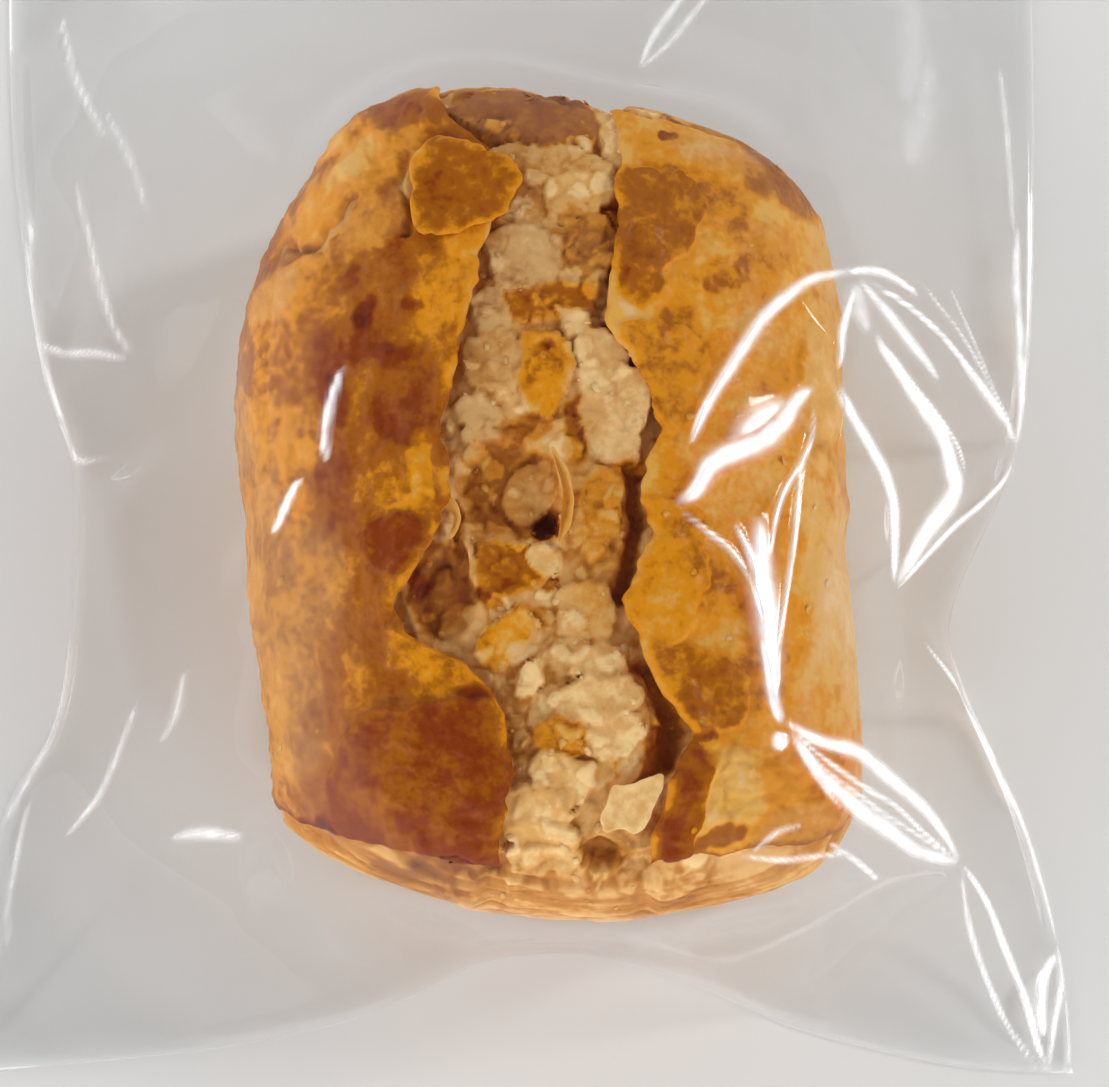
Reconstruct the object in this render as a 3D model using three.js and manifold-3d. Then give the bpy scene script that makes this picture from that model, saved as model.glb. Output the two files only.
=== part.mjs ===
// A short, wide sausage roll in a clear sealed film bag, in millimetres, +Z up.
// The roll lies along Y on its flat base. The bag lies flat round it and tents up over it.
// The origin is on the base plane, in the middle of the bag.
import * as THREE from "three";
import { mergeVertices } from "three/addons/utils/BufferGeometryUtils.js";
import Module from "manifold-3d";

// ---- Driving dimensions ----

// Roll: a loaf whose plan is bounded by four curves, each given by the points it passes through.
const ROLL_HEIGHT = 44;
const GIRTH_LEVEL = 15; // height at which the roll is widest
const ROLL_CENTRE = { x: 3.4, y: -11.4 };
const ROLL_CORNERS = {
  frontLeft: [-26.2, -47.8],
  frontRight: [38.4, -46.8],
  backLeft: [-22.4, 27.6],
  backRight: [34.2, 25.0],
};
const LEFT_SIDE = [[-28.3, -33.8], [-30.2, -17.6], [-32.0, -2.2], [-30.1, 14.8]];
const RIGHT_SIDE = [[38.9, -36.5], [37.9, -22.0], [37.7, -6.0], [37.3, 10.0]];
const FRONT_END = [[-19.5, -52.0], [-8.7, -56.2], [5.1, -58.4], [19.0, -57.5], [31.7, -54.0]];
const BACK_END = [[-13.8, 33.9], [-3.1, 35.6], [9.9, 32.9], [25.0, 29.8]];
const ROUND_ACROSS = 2.5; // superellipse powers: a round back, and ends cut almost upright
const ROUND_ALONG = 6;

// How the roll's wall turns in under its widest level: share of the plan size, share of that level.
const UNDERSIDE = [[0.992, 0.66], [0.97, 0.33], [0.93, 0.1], [0.87, 0]];

// The crust has burst open along the top: the split lies between two ragged lips, from back to front.
const LEFT_LIP = [
  [0.7, 24], [-2.7, 13], [-6.1, -1], [-6.5, -13], [-9.6, -21.5],
  [-13.1, -27], [-10.6, -30.2], [-1.2, -31.6], [-0.1, -37], [-1.7, -52.5],
];
const RIGHT_LIP = [
  [8.4, 25.5], [10.7, 12], [9.4, 4], [15, -4], [13.5, -13],
  [14.5, -19.5], [11.3, -26], [18.5, -40.4], [15.8, -46.2], [13.4, -53.5],
];
const SPLIT_DEPTH = 1.8;
const LIP_HEIGHT = 1.0; // how far the crust curls up beside the split
const LIP_SOFTNESS = 1.6; // width over which the crust steps down into the split
const LIP_WIDTH = 6; // how far back from its edge the crust lifts

// Bag: a flat rectangle of film, drawn in where the roll lifts it.
const BAG_WIDTH = 134;
const BAG_LENGTH = 154;
const BAG_EDGE = 1.2; // thickness where the two films lie on each other
const SIDE_PINCHES = { left: { at: -14, depth: 11, width: 27 }, right: { at: -22, depth: 13.5, width: 17 } };
const END_PINCHES = { front: { at: 4, depth: 14.5, width: 31 }, back: { at: 3, depth: 7, width: 36 } };
const CORNER_POWER = 8; // the higher, the closer to the bag's corners the pinches still reach
const TENT_HEIGHT = 30; // height at which the film leaves the roll's sides
const TENT_POWER = 1.2; // above 1, the film hangs in a hollow curve from there to the edge
const SHOULDER = 0.9; // share of the roll's half size at which the film starts to fall
const EDGE_RISE = 4; // how steeply the film rises from the bag's edge
const ROLL_CLEARANCE = 0.8; // between the roll and the bag's solid
const COVER_THICKNESS = 1.0; // of the bag's solid over the roll
const CUT_THROUGH = 1; // how far the hollow under the bag is cut below the base plane

// Mesh resolution, in cells across and along
const ROLL_CELLS = { across: 40, along: 34 };
const COVER_CELLS = { across: 24, along: 22 };
const BAG_CELLS = { across: 30, along: 34 };
const MERGE_DISTANCE = 1e-4;

// ---- Small helpers ----

const vectorOf = ([x, y]) => new THREE.Vector2(x, y);
const mix = (a, b, share) => a + (b - a) * share;
const farthest = (points, axis, sign) => Math.max(...points.map((point) => sign * point[axis])) * sign;

function curveThrough(points) {
  return new THREE.SplineCurve(points.map(vectorOf));
}

// x of a lip at a given y, read straight between its points.
function lipAt(lip, y) {
  const after = lip.findIndex((point) => point[1] <= y);
  if (after === 0) return lip[0][0];
  if (after < 0) return lip[lip.length - 1][0];
  const [x0, y0] = lip[after - 1];
  const [x1, y1] = lip[after];
  return mix(x0, x1, (y0 - y) / (y0 - y1));
}

// A closed mesh from a grid of points, a wall of rings round its rim, and a point that closes its base.
function closedSheet(cells, pointAt, baseRings, basePoint) {
  const vertices = [];
  const faces = [];
  const add = (point) => vertices.push(point.x, point.y, point.z) / 3 - 1;
  const { across, along } = cells;
  const grid = [];
  for (let j = 0; j <= along; j++) {
    const row = [];
    for (let i = 0; i <= across; i++) row.push(add(pointAt(i / across, j / along)));
    grid.push(row);
  }
  for (let j = 0; j < along; j++)
    for (let i = 0; i < across; i++) {
      faces.push(grid[j][i], grid[j][i + 1], grid[j + 1][i + 1]);
      faces.push(grid[j][i], grid[j + 1][i + 1], grid[j + 1][i]);
    }
  const rim = [];
  for (let i = 0; i < across; i++) rim.push(grid[0][i]);
  for (let j = 0; j < along; j++) rim.push(grid[j][across]);
  for (let i = across; i > 0; i--) rim.push(grid[along][i]);
  for (let j = along; j > 0; j--) rim.push(grid[j][0]);
  const rimPoints = rim.map((index) => new THREE.Vector3().fromArray(vertices, index * 3));
  let upper = rim;
  for (const ring of baseRings) {
    const lower = rimPoints.map((point) => add(ring(point)));
    for (let k = 0; k < upper.length; k++) {
      const next = (k + 1) % upper.length;
      faces.push(upper[k], lower[k], lower[next]);
      faces.push(upper[k], lower[next], upper[next]);
    }
    upper = lower;
  }
  const centre = add(basePoint);
  for (let k = 0; k < upper.length; k++) faces.push(upper[k], centre, upper[(k + 1) % upper.length]);
  const geometry = new THREE.BufferGeometry();
  geometry.setAttribute("position", new THREE.Float32BufferAttribute(vertices, 3));
  geometry.setIndex(faces);
  return geometry;
}

// ---- The roll ----

const { frontLeft, frontRight, backLeft, backRight } = ROLL_CORNERS;
const leftCurve = curveThrough([frontLeft, ...LEFT_SIDE, backLeft]);
const rightCurve = curveThrough([frontRight, ...RIGHT_SIDE, backRight]);
const frontCurve = curveThrough([frontLeft, ...FRONT_END, frontRight]);
const backCurve = curveThrough([backLeft, ...BACK_END, backRight]);
const rollHalfWidth = (farthest(RIGHT_SIDE, 0, 1) - farthest(LEFT_SIDE, 0, -1)) / 2;
const rollHalfLength = (farthest(BACK_END, 1, 1) - farthest(FRONT_END, 1, -1)) / 2;

// Plan position for shares s across and t along, each from 0 to 1: a Coons patch in the four curves.
function rollPlan(s, t) {
  const front = frontCurve.getPointAt(s);
  const back = backCurve.getPointAt(s);
  const left = leftCurve.getPointAt(t);
  const right = rightCurve.getPointAt(t);
  const corner = vectorOf(frontLeft)
    .lerp(vectorOf(frontRight), s)
    .lerp(vectorOf(backLeft).lerp(vectorOf(backRight), s), t);
  return front.lerp(back, t).add(left.lerp(right, s)).sub(corner);
}

// Height of the back of the roll as a share of its full rise, 0 at the rim and 1 in the middle.
function rollRise(s, t) {
  const side = Math.abs(2 * s - 1);
  const end = Math.abs(2 * t - 1);
  const across = Math.max(0, 1 - side ** ROUND_ACROSS) ** (1 / ROUND_ACROSS);
  const along = Math.max(0, 1 - end ** ROUND_ALONG) ** (1 / ROUND_ALONG);
  return across * along;
}

// The crust's raised lips and the split between them.
function splitRelief(x, y) {
  const intoSplit = Math.min(x - lipAt(LEFT_LIP, y), lipAt(RIGHT_LIP, y) - x);
  const open = THREE.MathUtils.smoothstep(intoSplit, -LIP_SOFTNESS / 2, LIP_SOFTNESS / 2);
  const lip = Math.exp(-((Math.min(0, intoSplit) / LIP_WIDTH) ** 2)) * (1 - open);
  return LIP_HEIGHT * lip - SPLIT_DEPTH * open;
}

// Even steps of share crowd towards both rims, where the wall is steep.
const crowded = (share) => (1 - Math.cos(Math.PI * share)) / 2;

const fromRollCentre = (point, share, z) =>
  new THREE.Vector3(mix(ROLL_CENTRE.x, point.x, share), mix(ROLL_CENTRE.y, point.y, share), z);

function rollGeometry() {
  const rise = ROLL_HEIGHT - LIP_HEIGHT - GIRTH_LEVEL;
  const pointAt = (i, j) => {
    const [s, t] = [crowded(i), crowded(j)];
    const plan = rollPlan(s, t);
    const height = GIRTH_LEVEL + rollRise(s, t) * (rise + splitRelief(plan.x, plan.y));
    return fromRollCentre(plan, 1, height);
  };
  const rings = UNDERSIDE.map(([size, level]) => (rim) => fromRollCentre(rim, size, GIRTH_LEVEL * level));
  return closedSheet(ROLL_CELLS, pointAt, rings, fromRollCentre(ROLL_CENTRE, 1, 0));
}

// The roll's plain outer form, larger by grow all round, with upright walls down to floor.
function coverGeometry(grow, floor) {
  const scale = 1 + grow / rollHalfLength;
  const rise = ROLL_HEIGHT + grow - GIRTH_LEVEL;
  const pointAt = (i, j) => {
    const [s, t] = [crowded(i), crowded(j)];
    return fromRollCentre(rollPlan(s, t), scale, GIRTH_LEVEL + rollRise(s, t) * rise);
  };
  const wall = (rim) => fromRollCentre(rim, 1, floor);
  return closedSheet(COVER_CELLS, pointAt, [wall], fromRollCentre(ROLL_CENTRE, 1, floor));
}

// ---- The bag ----

const pinchAt = ({ at, depth, width }, along) => depth * Math.exp(-(((along - at) / width) ** 2));

// Plan position in the bag for u across and v along, each from -1 to 1.
function bagPlan(u, v) {
  const x = (u * BAG_WIDTH) / 2;
  const y = (v * BAG_LENGTH) / 2;
  const side = pinchAt(u < 0 ? SIDE_PINCHES.left : SIDE_PINCHES.right, y) * (1 - v ** CORNER_POWER);
  const end = pinchAt(v < 0 ? END_PINCHES.front : END_PINCHES.back, x) * (1 - u ** CORNER_POWER);
  return new THREE.Vector2(x - Math.sign(u) * u ** 2 * side, y - Math.sign(v) * v ** 2 * end);
}

// Height of the upper film: flat over the roll, then down in a hollow curve to the bag's edge.
function tentHeight(plan, u, v) {
  const outside = (distance, half, room) => Math.max(0, Math.abs(distance) - half * SHOULDER) / room;
  const x = plan.x - ROLL_CENTRE.x;
  const y = plan.y - ROLL_CENTRE.y;
  const roomX = BAG_WIDTH / 2 - Math.sign(x) * ROLL_CENTRE.x - rollHalfWidth;
  const roomY = BAG_LENGTH / 2 - Math.sign(y) * ROLL_CENTRE.y - rollHalfLength;
  const away = Math.hypot(outside(x, rollHalfWidth, roomX), outside(y, rollHalfLength, roomY));
  const fall = Math.max(0, 1 - away) ** TENT_POWER;
  const inside = Math.min(1, EDGE_RISE * (1 - Math.max(Math.abs(u), Math.abs(v))));
  return BAG_EDGE + (TENT_HEIGHT - BAG_EDGE) * fall * inside;
}

function tentGeometry() {
  const pointAt = (i, j) => {
    const [u, v] = [2 * i - 1, 2 * j - 1];
    const plan = bagPlan(u, v);
    return new THREE.Vector3(plan.x, plan.y, tentHeight(plan, u, v));
  };
  const ground = (rim) => new THREE.Vector3(rim.x, rim.y, 0);
  return closedSheet(BAG_CELLS, pointAt, [ground], new THREE.Vector3());
}

// ---- Joining and cutting ----

const wasm = await Module();
wasm.setup();

function solidOf(geometry) {
  const merged = mergeVertices(geometry, MERGE_DISTANCE);
  const mesh = new wasm.Mesh({
    numProp: 3,
    vertProperties: merged.attributes.position.array,
    triVerts: new Uint32Array(merged.index.array),
  });
  return new wasm.Manifold(mesh);
}

function geometryOf(solid) {
  const mesh = solid.getMesh();
  const geometry = new THREE.BufferGeometry();
  geometry.setAttribute("position", new THREE.BufferAttribute(mesh.vertProperties, mesh.numProp));
  geometry.setIndex(new THREE.BufferAttribute(mesh.triVerts, 1));
  return geometry;
}

// The bag's solid reaches from the film down to the base, with a hollow below that holds the roll.
function bagGeometry() {
  const cover = solidOf(coverGeometry(ROLL_CLEARANCE + COVER_THICKNESS, 0));
  const hollow = solidOf(coverGeometry(ROLL_CLEARANCE, -CUT_THROUGH));
  return geometryOf(solidOf(tentGeometry()).add(cover).subtract(hollow));
}

// ---- The part ----

function named(name, geometry, material) {
  const mesh = new THREE.Mesh(geometry, new THREE.MeshStandardMaterial(material));
  mesh.name = name;
  return mesh;
}

const pastry = { color: 0xc8842c, roughness: 0.55, metalness: 0 };
const clearFilm = { color: 0xe8eaec, roughness: 0.08, metalness: 0, transparent: true, opacity: 0.2 };

const part = new THREE.Group();
part.add(named("sausage_roll", rollGeometry(), pastry));
part.add(named("bag", bagGeometry(), clearFilm));

export default part;
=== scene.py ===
"""A browned flaky sausage roll, burst open along its top, lying in a clear sealed film bag.

Sizes inside the script are in millimetres unless a name says otherwise. The roll lies along Y,
and +Z is up. Each piece is made by its own operator, and the stage by another.
"""
import itertools
import math

import bpy
import numpy as np
from bpy.props import FloatProperty, FloatVectorProperty, IntProperty, PointerProperty
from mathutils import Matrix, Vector, geometry
from mathutils.bvhtree import BVHTree


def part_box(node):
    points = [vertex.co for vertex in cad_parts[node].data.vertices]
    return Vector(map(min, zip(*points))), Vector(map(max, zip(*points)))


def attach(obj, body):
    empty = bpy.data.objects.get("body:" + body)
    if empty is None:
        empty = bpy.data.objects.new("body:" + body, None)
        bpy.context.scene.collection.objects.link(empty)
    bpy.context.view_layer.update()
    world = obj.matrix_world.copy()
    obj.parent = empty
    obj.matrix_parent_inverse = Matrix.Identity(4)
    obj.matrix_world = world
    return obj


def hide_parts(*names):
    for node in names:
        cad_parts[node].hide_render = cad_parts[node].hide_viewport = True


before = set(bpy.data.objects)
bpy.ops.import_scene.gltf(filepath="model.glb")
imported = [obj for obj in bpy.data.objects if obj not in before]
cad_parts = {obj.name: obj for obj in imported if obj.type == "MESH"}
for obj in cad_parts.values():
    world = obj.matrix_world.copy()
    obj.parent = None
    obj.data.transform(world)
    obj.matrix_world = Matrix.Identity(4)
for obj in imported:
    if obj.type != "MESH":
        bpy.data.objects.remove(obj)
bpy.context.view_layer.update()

bl_info = {
    "name": "Bagged Sausage Roll",
    "version": (1, 0, 0),
    "blender": (4, 5, 0),
    "location": "View3D > Sidebar > Bakery",
    "description": "Builds a flaky sausage roll in a clear film bag, and its stage",
    "category": "Object",
}

MM = 0.001
FAR = 1e9
ROLL_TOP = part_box("sausage_roll")[1].z / MM

# ---- The loaf's form ----

# Plan of the loaf at its widest level: four corners, and the points its sides and ends pass through
FRONT_LEFT, FRONT_RIGHT = (-26.2, -47.8), (38.4, -46.8)
BACK_LEFT, BACK_RIGHT = (-22.4, 27.6), (34.2, 25.0)
LEFT_SIDE = ((-28.3, -33.8), (-30.2, -17.6), (-32.0, -2.2), (-30.1, 14.8))
RIGHT_SIDE = ((38.9, -36.5), (37.9, -22.0), (37.7, -6.0), (37.3, 10.0))
FRONT_END = ((-19.5, -52.0), (-8.7, -56.2), (5.1, -58.4), (19.0, -57.5), (31.7, -54.0))
BACK_END = ((-13.8, 33.9), (-3.1, 35.6), (9.9, 32.9), (25.0, 29.8))
LOAF_CENTRE = np.array((3.4, -11.4))
LOAF_TOP = ROLL_TOP - 1.2  # leaves room for the crust
GIRTH = 15.0  # level at which the loaf is widest
ROUND_ACROSS = 2.5  # superellipse powers: a round back, and ends cut almost upright
ROUND_ALONG = 6.0

# The split along the top, between its two ragged lips: points (x, y) from back to front
LEFT_LIP = (
    (-8, 31), (-7.2, 27.6), (-4, 24.4), (-0.6, 21.4), (-2.7, 13.2), (-4.5, 6.5), (-6.1, -1.2),
    (-7.6, -6.6), (-6.5, -13.1), (-7.5, -18.4), (-9.8, -22), (-12.4, -26.4), (-11.2, -29.2), (-8.2, -31),
    (-4.8, -32.4), (-2.2, -34.8), (-0.8, -37.8), (0.3, -43.5), (-0.6, -48), (-1.7, -56),
)
RIGHT_LIP = (
    (10.4, 30), (12, 26), (11.4, 22.1), (11, 12.1), (9.4, 4.3), (14.6, -2.3), (15.6, -7.7),
    (13.5, -13.1), (14.5, -19.5), (11.3, -25.9), (14.4, -32.7), (18.5, -40.4), (15.8, -46.2),
    (13.4, -56),
)


class Noise:
    """Smooth gradient noise, about -1 to 1, the same on each run for the same seed."""

    def __init__(self, seed):
        source = np.random.default_rng(seed)
        self.order = np.tile(source.permutation(256), 3)
        slopes = source.normal(size=(256, 3))
        self.slopes = slopes / np.linalg.norm(slopes, axis=1, keepdims=True)

    def at(self, points, size):
        """Noise whose bumps are about size across, a number or one for each axis."""
        places = np.asarray(points, float) / size
        cell = np.floor(places).astype(int)
        local = places - cell
        fade = local**3 * (local * (local * 6 - 15) + 10)
        total = 0.0
        for corner in itertools.product((0, 1), repeat=3):
            key = (cell + corner) & 255
            slope = self.order[key[..., 0]] + key[..., 1]
            slope = self.slopes[self.order[self.order[slope] + key[..., 2]]]
            reach = np.prod(np.where(corner, fade, 1 - fade), axis=-1)
            total = total + reach * np.sum((local - corner) * slope, axis=-1)
        return total * 1.6

    def layered(self, points, size, octaves=4, falloff=0.5):
        """Noise with finer noise added, each octave half the size of the one before."""
        size = np.asarray(size, float)
        total = sum(self.at(points, size / 2**k) * falloff**k for k in range(octaves))
        return total / sum(falloff**k for k in range(octaves))


def smooth_step(low, high, value):
    """0 up to low, 1 from high on, and a smooth rise between."""
    share = np.clip((value - low) / (high - low), 0, 1)
    return share * share * (3 - 2 * share)


def mix(a, b, share):
    """A value that lies a share of the way from a to b."""
    return a + (b - a) * share


def unit(vectors):
    """Vectors brought to a length of 1."""
    return vectors / np.maximum(np.linalg.norm(vectors, axis=-1, keepdims=True), 1e-9)


def lengths_along(rows):
    """Length of a row of points up to each of them."""
    steps = np.linalg.norm(np.diff(rows, axis=0), axis=1)
    return np.concatenate(([0], np.cumsum(steps)))


def curve_table(points, steps=24):
    """Points of a Catmull-Rom curve through points, with each one's share of its length."""
    points = np.array(points, float)
    padded = np.vstack((points[:1], points, points[-1:]))
    share = np.linspace(0, 1, steps, endpoint=False)[:, None]
    rows = []
    for p0, p1, p2, p3 in zip(padded, padded[1:], padded[2:], padded[3:]):
        a, b = (p2 - p0) / 2, (p3 - p1) / 2
        bend = (2 * p1 - 2 * p2 + a + b) * share**3 + (3 * p2 - 3 * p1 - 2 * a - b) * share**2
        rows.append(bend + a * share + p1)
    rows = np.vstack(rows + [points[-1:]])
    length = lengths_along(rows)
    return length / length[-1], rows


def along_curve(table, share):
    """Points of a curve at shares of its length."""
    shares, rows = table
    return np.stack([np.interp(share, shares, rows[:, axis]) for axis in (0, 1)], axis=-1)


class Outline:
    """A closed outline of four curves, each given by its corners and the points between them."""

    def __init__(self, corners, front, back, left, right):
        front_left, front_right, back_left, back_right = self.corners = np.array(corners)
        self.front = curve_table((front_left, *front, front_right))
        self.back = curve_table((back_left, *back, back_right))
        self.left = curve_table((front_left, *left, back_left))
        self.right = curve_table((front_right, *right, back_right))

    def plan(self, s, t):
        """Plan positions for shares s across and t along: a Coons patch in the four curves."""
        s, t = np.broadcast_arrays(s, t)
        front, back = along_curve(self.front, s), along_curve(self.back, s)
        left, right = along_curve(self.left, t), along_curve(self.right, t)
        s, t = s[..., None], t[..., None]
        front_left, front_right, back_left, back_right = self.corners
        flat = mix(mix(front_left, front_right, s), mix(back_left, back_right, s), t)
        return mix(front, back, t) + mix(left, right, s) - flat


LOAF = Outline((FRONT_LEFT, FRONT_RIGHT, BACK_LEFT, BACK_RIGHT), FRONT_END, BACK_END, LEFT_SIDE, RIGHT_SIDE)


def drawn_in(under):
    """Size of the loaf's plan under its girth: a little less, then rounded in to the base."""
    return 1 - 0.05 * under**2 - 0.08 * under**10


def loaf_point(s, t, under=0.0):
    """A point on the plain loaf. under goes from 0 at the girth to 1 at the base."""
    s, t, under = np.broadcast_arrays(s, t, under)
    across = np.clip(1 - np.abs(2 * s - 1) ** ROUND_ACROSS, 0, 1) ** (1 / ROUND_ACROSS)
    along = np.clip(1 - np.abs(2 * t - 1) ** ROUND_ALONG, 0, 1) ** (1 / ROUND_ALONG)
    plan = LOAF_CENTRE + (LOAF.plan(s, t) - LOAF_CENTRE) * drawn_in(under)[..., None]
    height = (GIRTH + (LOAF_TOP - GIRTH) * across * along) * (1 - under)
    return np.concatenate((plan, height[..., None]), axis=-1)


def shares_at(x, y):
    """The shares s and t whose plan position is (x, y)."""
    x, y = np.broadcast_arrays(np.asarray(x, float), np.asarray(y, float))
    s = np.clip((x + 30) / 68, 0.02, 0.98)
    t = np.clip((y + 56) / 92, 0.02, 0.98)
    for _ in range(16):
        plan = LOAF.plan(s, t)
        s = np.clip(s + (x - plan[..., 0]) / 66, 0, 1)
        t = np.clip(t + (y - plan[..., 1]) / 88, 0, 1)
    return s, t


def loaf_top(x, y):
    """Points on the plain loaf's top over (x, y), and the way out of it there."""
    s, t = shares_at(x, y)
    here = loaf_point(s, t)
    step = 0.004
    along_s = loaf_point(np.clip(s + step, 0, 1), t) - loaf_point(np.clip(s - step, 0, 1), t)
    along_t = loaf_point(s, np.clip(t + step, 0, 1)) - loaf_point(s, np.clip(t - step, 0, 1))
    return here, unit(np.cross(along_s, along_t))


def grid_normals(points):
    """Unit normals of a grid of points: across its columns, then along its rows."""
    along = np.gradient(points, axis=0)
    across = np.gradient(points, axis=1)
    return unit(np.cross(across, along))


LUMPS = Noise(11)


def lumps(points):
    """The loaf's own unevenness, shared by crust and dough so that they stay together."""
    return 0.55 * LUMPS.at(points, (13, 22, 17)) + 0.22 * LUMPS.at(points, (6, 9, 7))


LIP_NOISE = Noise(12)


def lip_x(points, y, sign):
    """x of a lip at y, torn into scallops and fine teeth."""
    order = np.array(points)[::-1]
    where = np.stack((np.full_like(y, 40.0 * sign), y, np.zeros_like(y)), axis=-1)
    teeth = 0.75 * LIP_NOISE.at(where, 3.4) + 0.35 * LIP_NOISE.at(where, 1.3)
    return np.interp(y, order[:, 1], order[:, 0]) + teeth


# ---- Meshes ----

class Skin:
    """Vertices, faces and named values gathered for one mesh, in millimetres."""

    def __init__(self):
        self.points = []
        self.faces = []
        self.values = {}
        self.count = 0

    def add(self, points, **values):
        """Adds an array of points and returns their numbers in the same arrangement."""
        points = np.asarray(points, float)
        shape = points.shape[:-1]
        total = int(np.prod(shape))
        self.points.append(points.reshape(-1, 3))
        for name, value in values.items():
            value = np.broadcast_to(value, shape).reshape(-1)
            self.values.setdefault(name, []).append((self.count, value))
        self.count += total
        return np.arange(self.count - total, self.count).reshape(shape)

    def fill(self, grid, flip=False):
        """Quads between the rows and columns of a grid of numbers."""
        quads = np.stack((grid[:-1, :-1], grid[:-1, 1:], grid[1:, 1:], grid[1:, :-1]), axis=-1)
        quads = quads.reshape(-1, 4)
        self.faces.extend((quads[:, ::-1] if flip else quads).tolist())

    def bridge(self, one, other, closed=False):
        """Quads between two rows of numbers."""
        rows = np.stack((one, other))
        if closed:
            rows = np.concatenate((rows, rows[:, :1]), axis=1)
        self.fill(rows)

    def fan(self, centre, ring):
        """Triangles from a middle point to a ring of numbers."""
        ends = np.roll(ring, -1)
        self.faces.extend([int(centre), int(a), int(b)] for a, b in zip(ring, ends))

    def close(self, rim, rings, centre, **values):
        """Walls from a rim down through rings of points with their values, then a middle point."""
        for points, ring_values in rings:
            lower = self.add(points, **ring_values)
            self.bridge(lower, rim, closed=True)
            rim = lower
        self.fan(self.add(centre, **values), rim[::-1])

    def volume(self, points):
        """Signed volume, positive when the faces point outwards."""
        total = 0.0
        for size in (3, 4):
            chosen = [face for face in self.faces if len(face) == size]
            if not chosen:
                continue
            corners = points[np.array(chosen)]
            for k in range(1, size - 1):
                wedge = np.cross(corners[:, k], corners[:, k + 1])
                total += np.einsum("ij,ij->", corners[:, 0], wedge)
        return total / 6

    def build(self, name, material):
        """Makes the object, with its faces pointing outwards and its values as attributes."""
        points = np.vstack(self.points)
        if self.volume(points) < 0:
            self.faces = [face[::-1] for face in self.faces]
        mesh = bpy.data.meshes.new(name)
        mesh.from_pydata((points * MM).tolist(), [], self.faces)
        for label, parts in self.values.items():
            full = np.zeros(self.count)
            for start, value in parts:
                full[start:start + len(value)] = value
            mesh.attributes.new(label, "FLOAT", "POINT").data.foreach_set("value", full)
        mesh.shade_smooth()
        mesh.materials.append(material)
        mesh.validate()
        piece = bpy.data.objects.new(name, mesh)
        bpy.context.collection.objects.link(piece)
        return piece


# ---- Browning ----

TOAST_NOISE = Noise(21)

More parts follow.
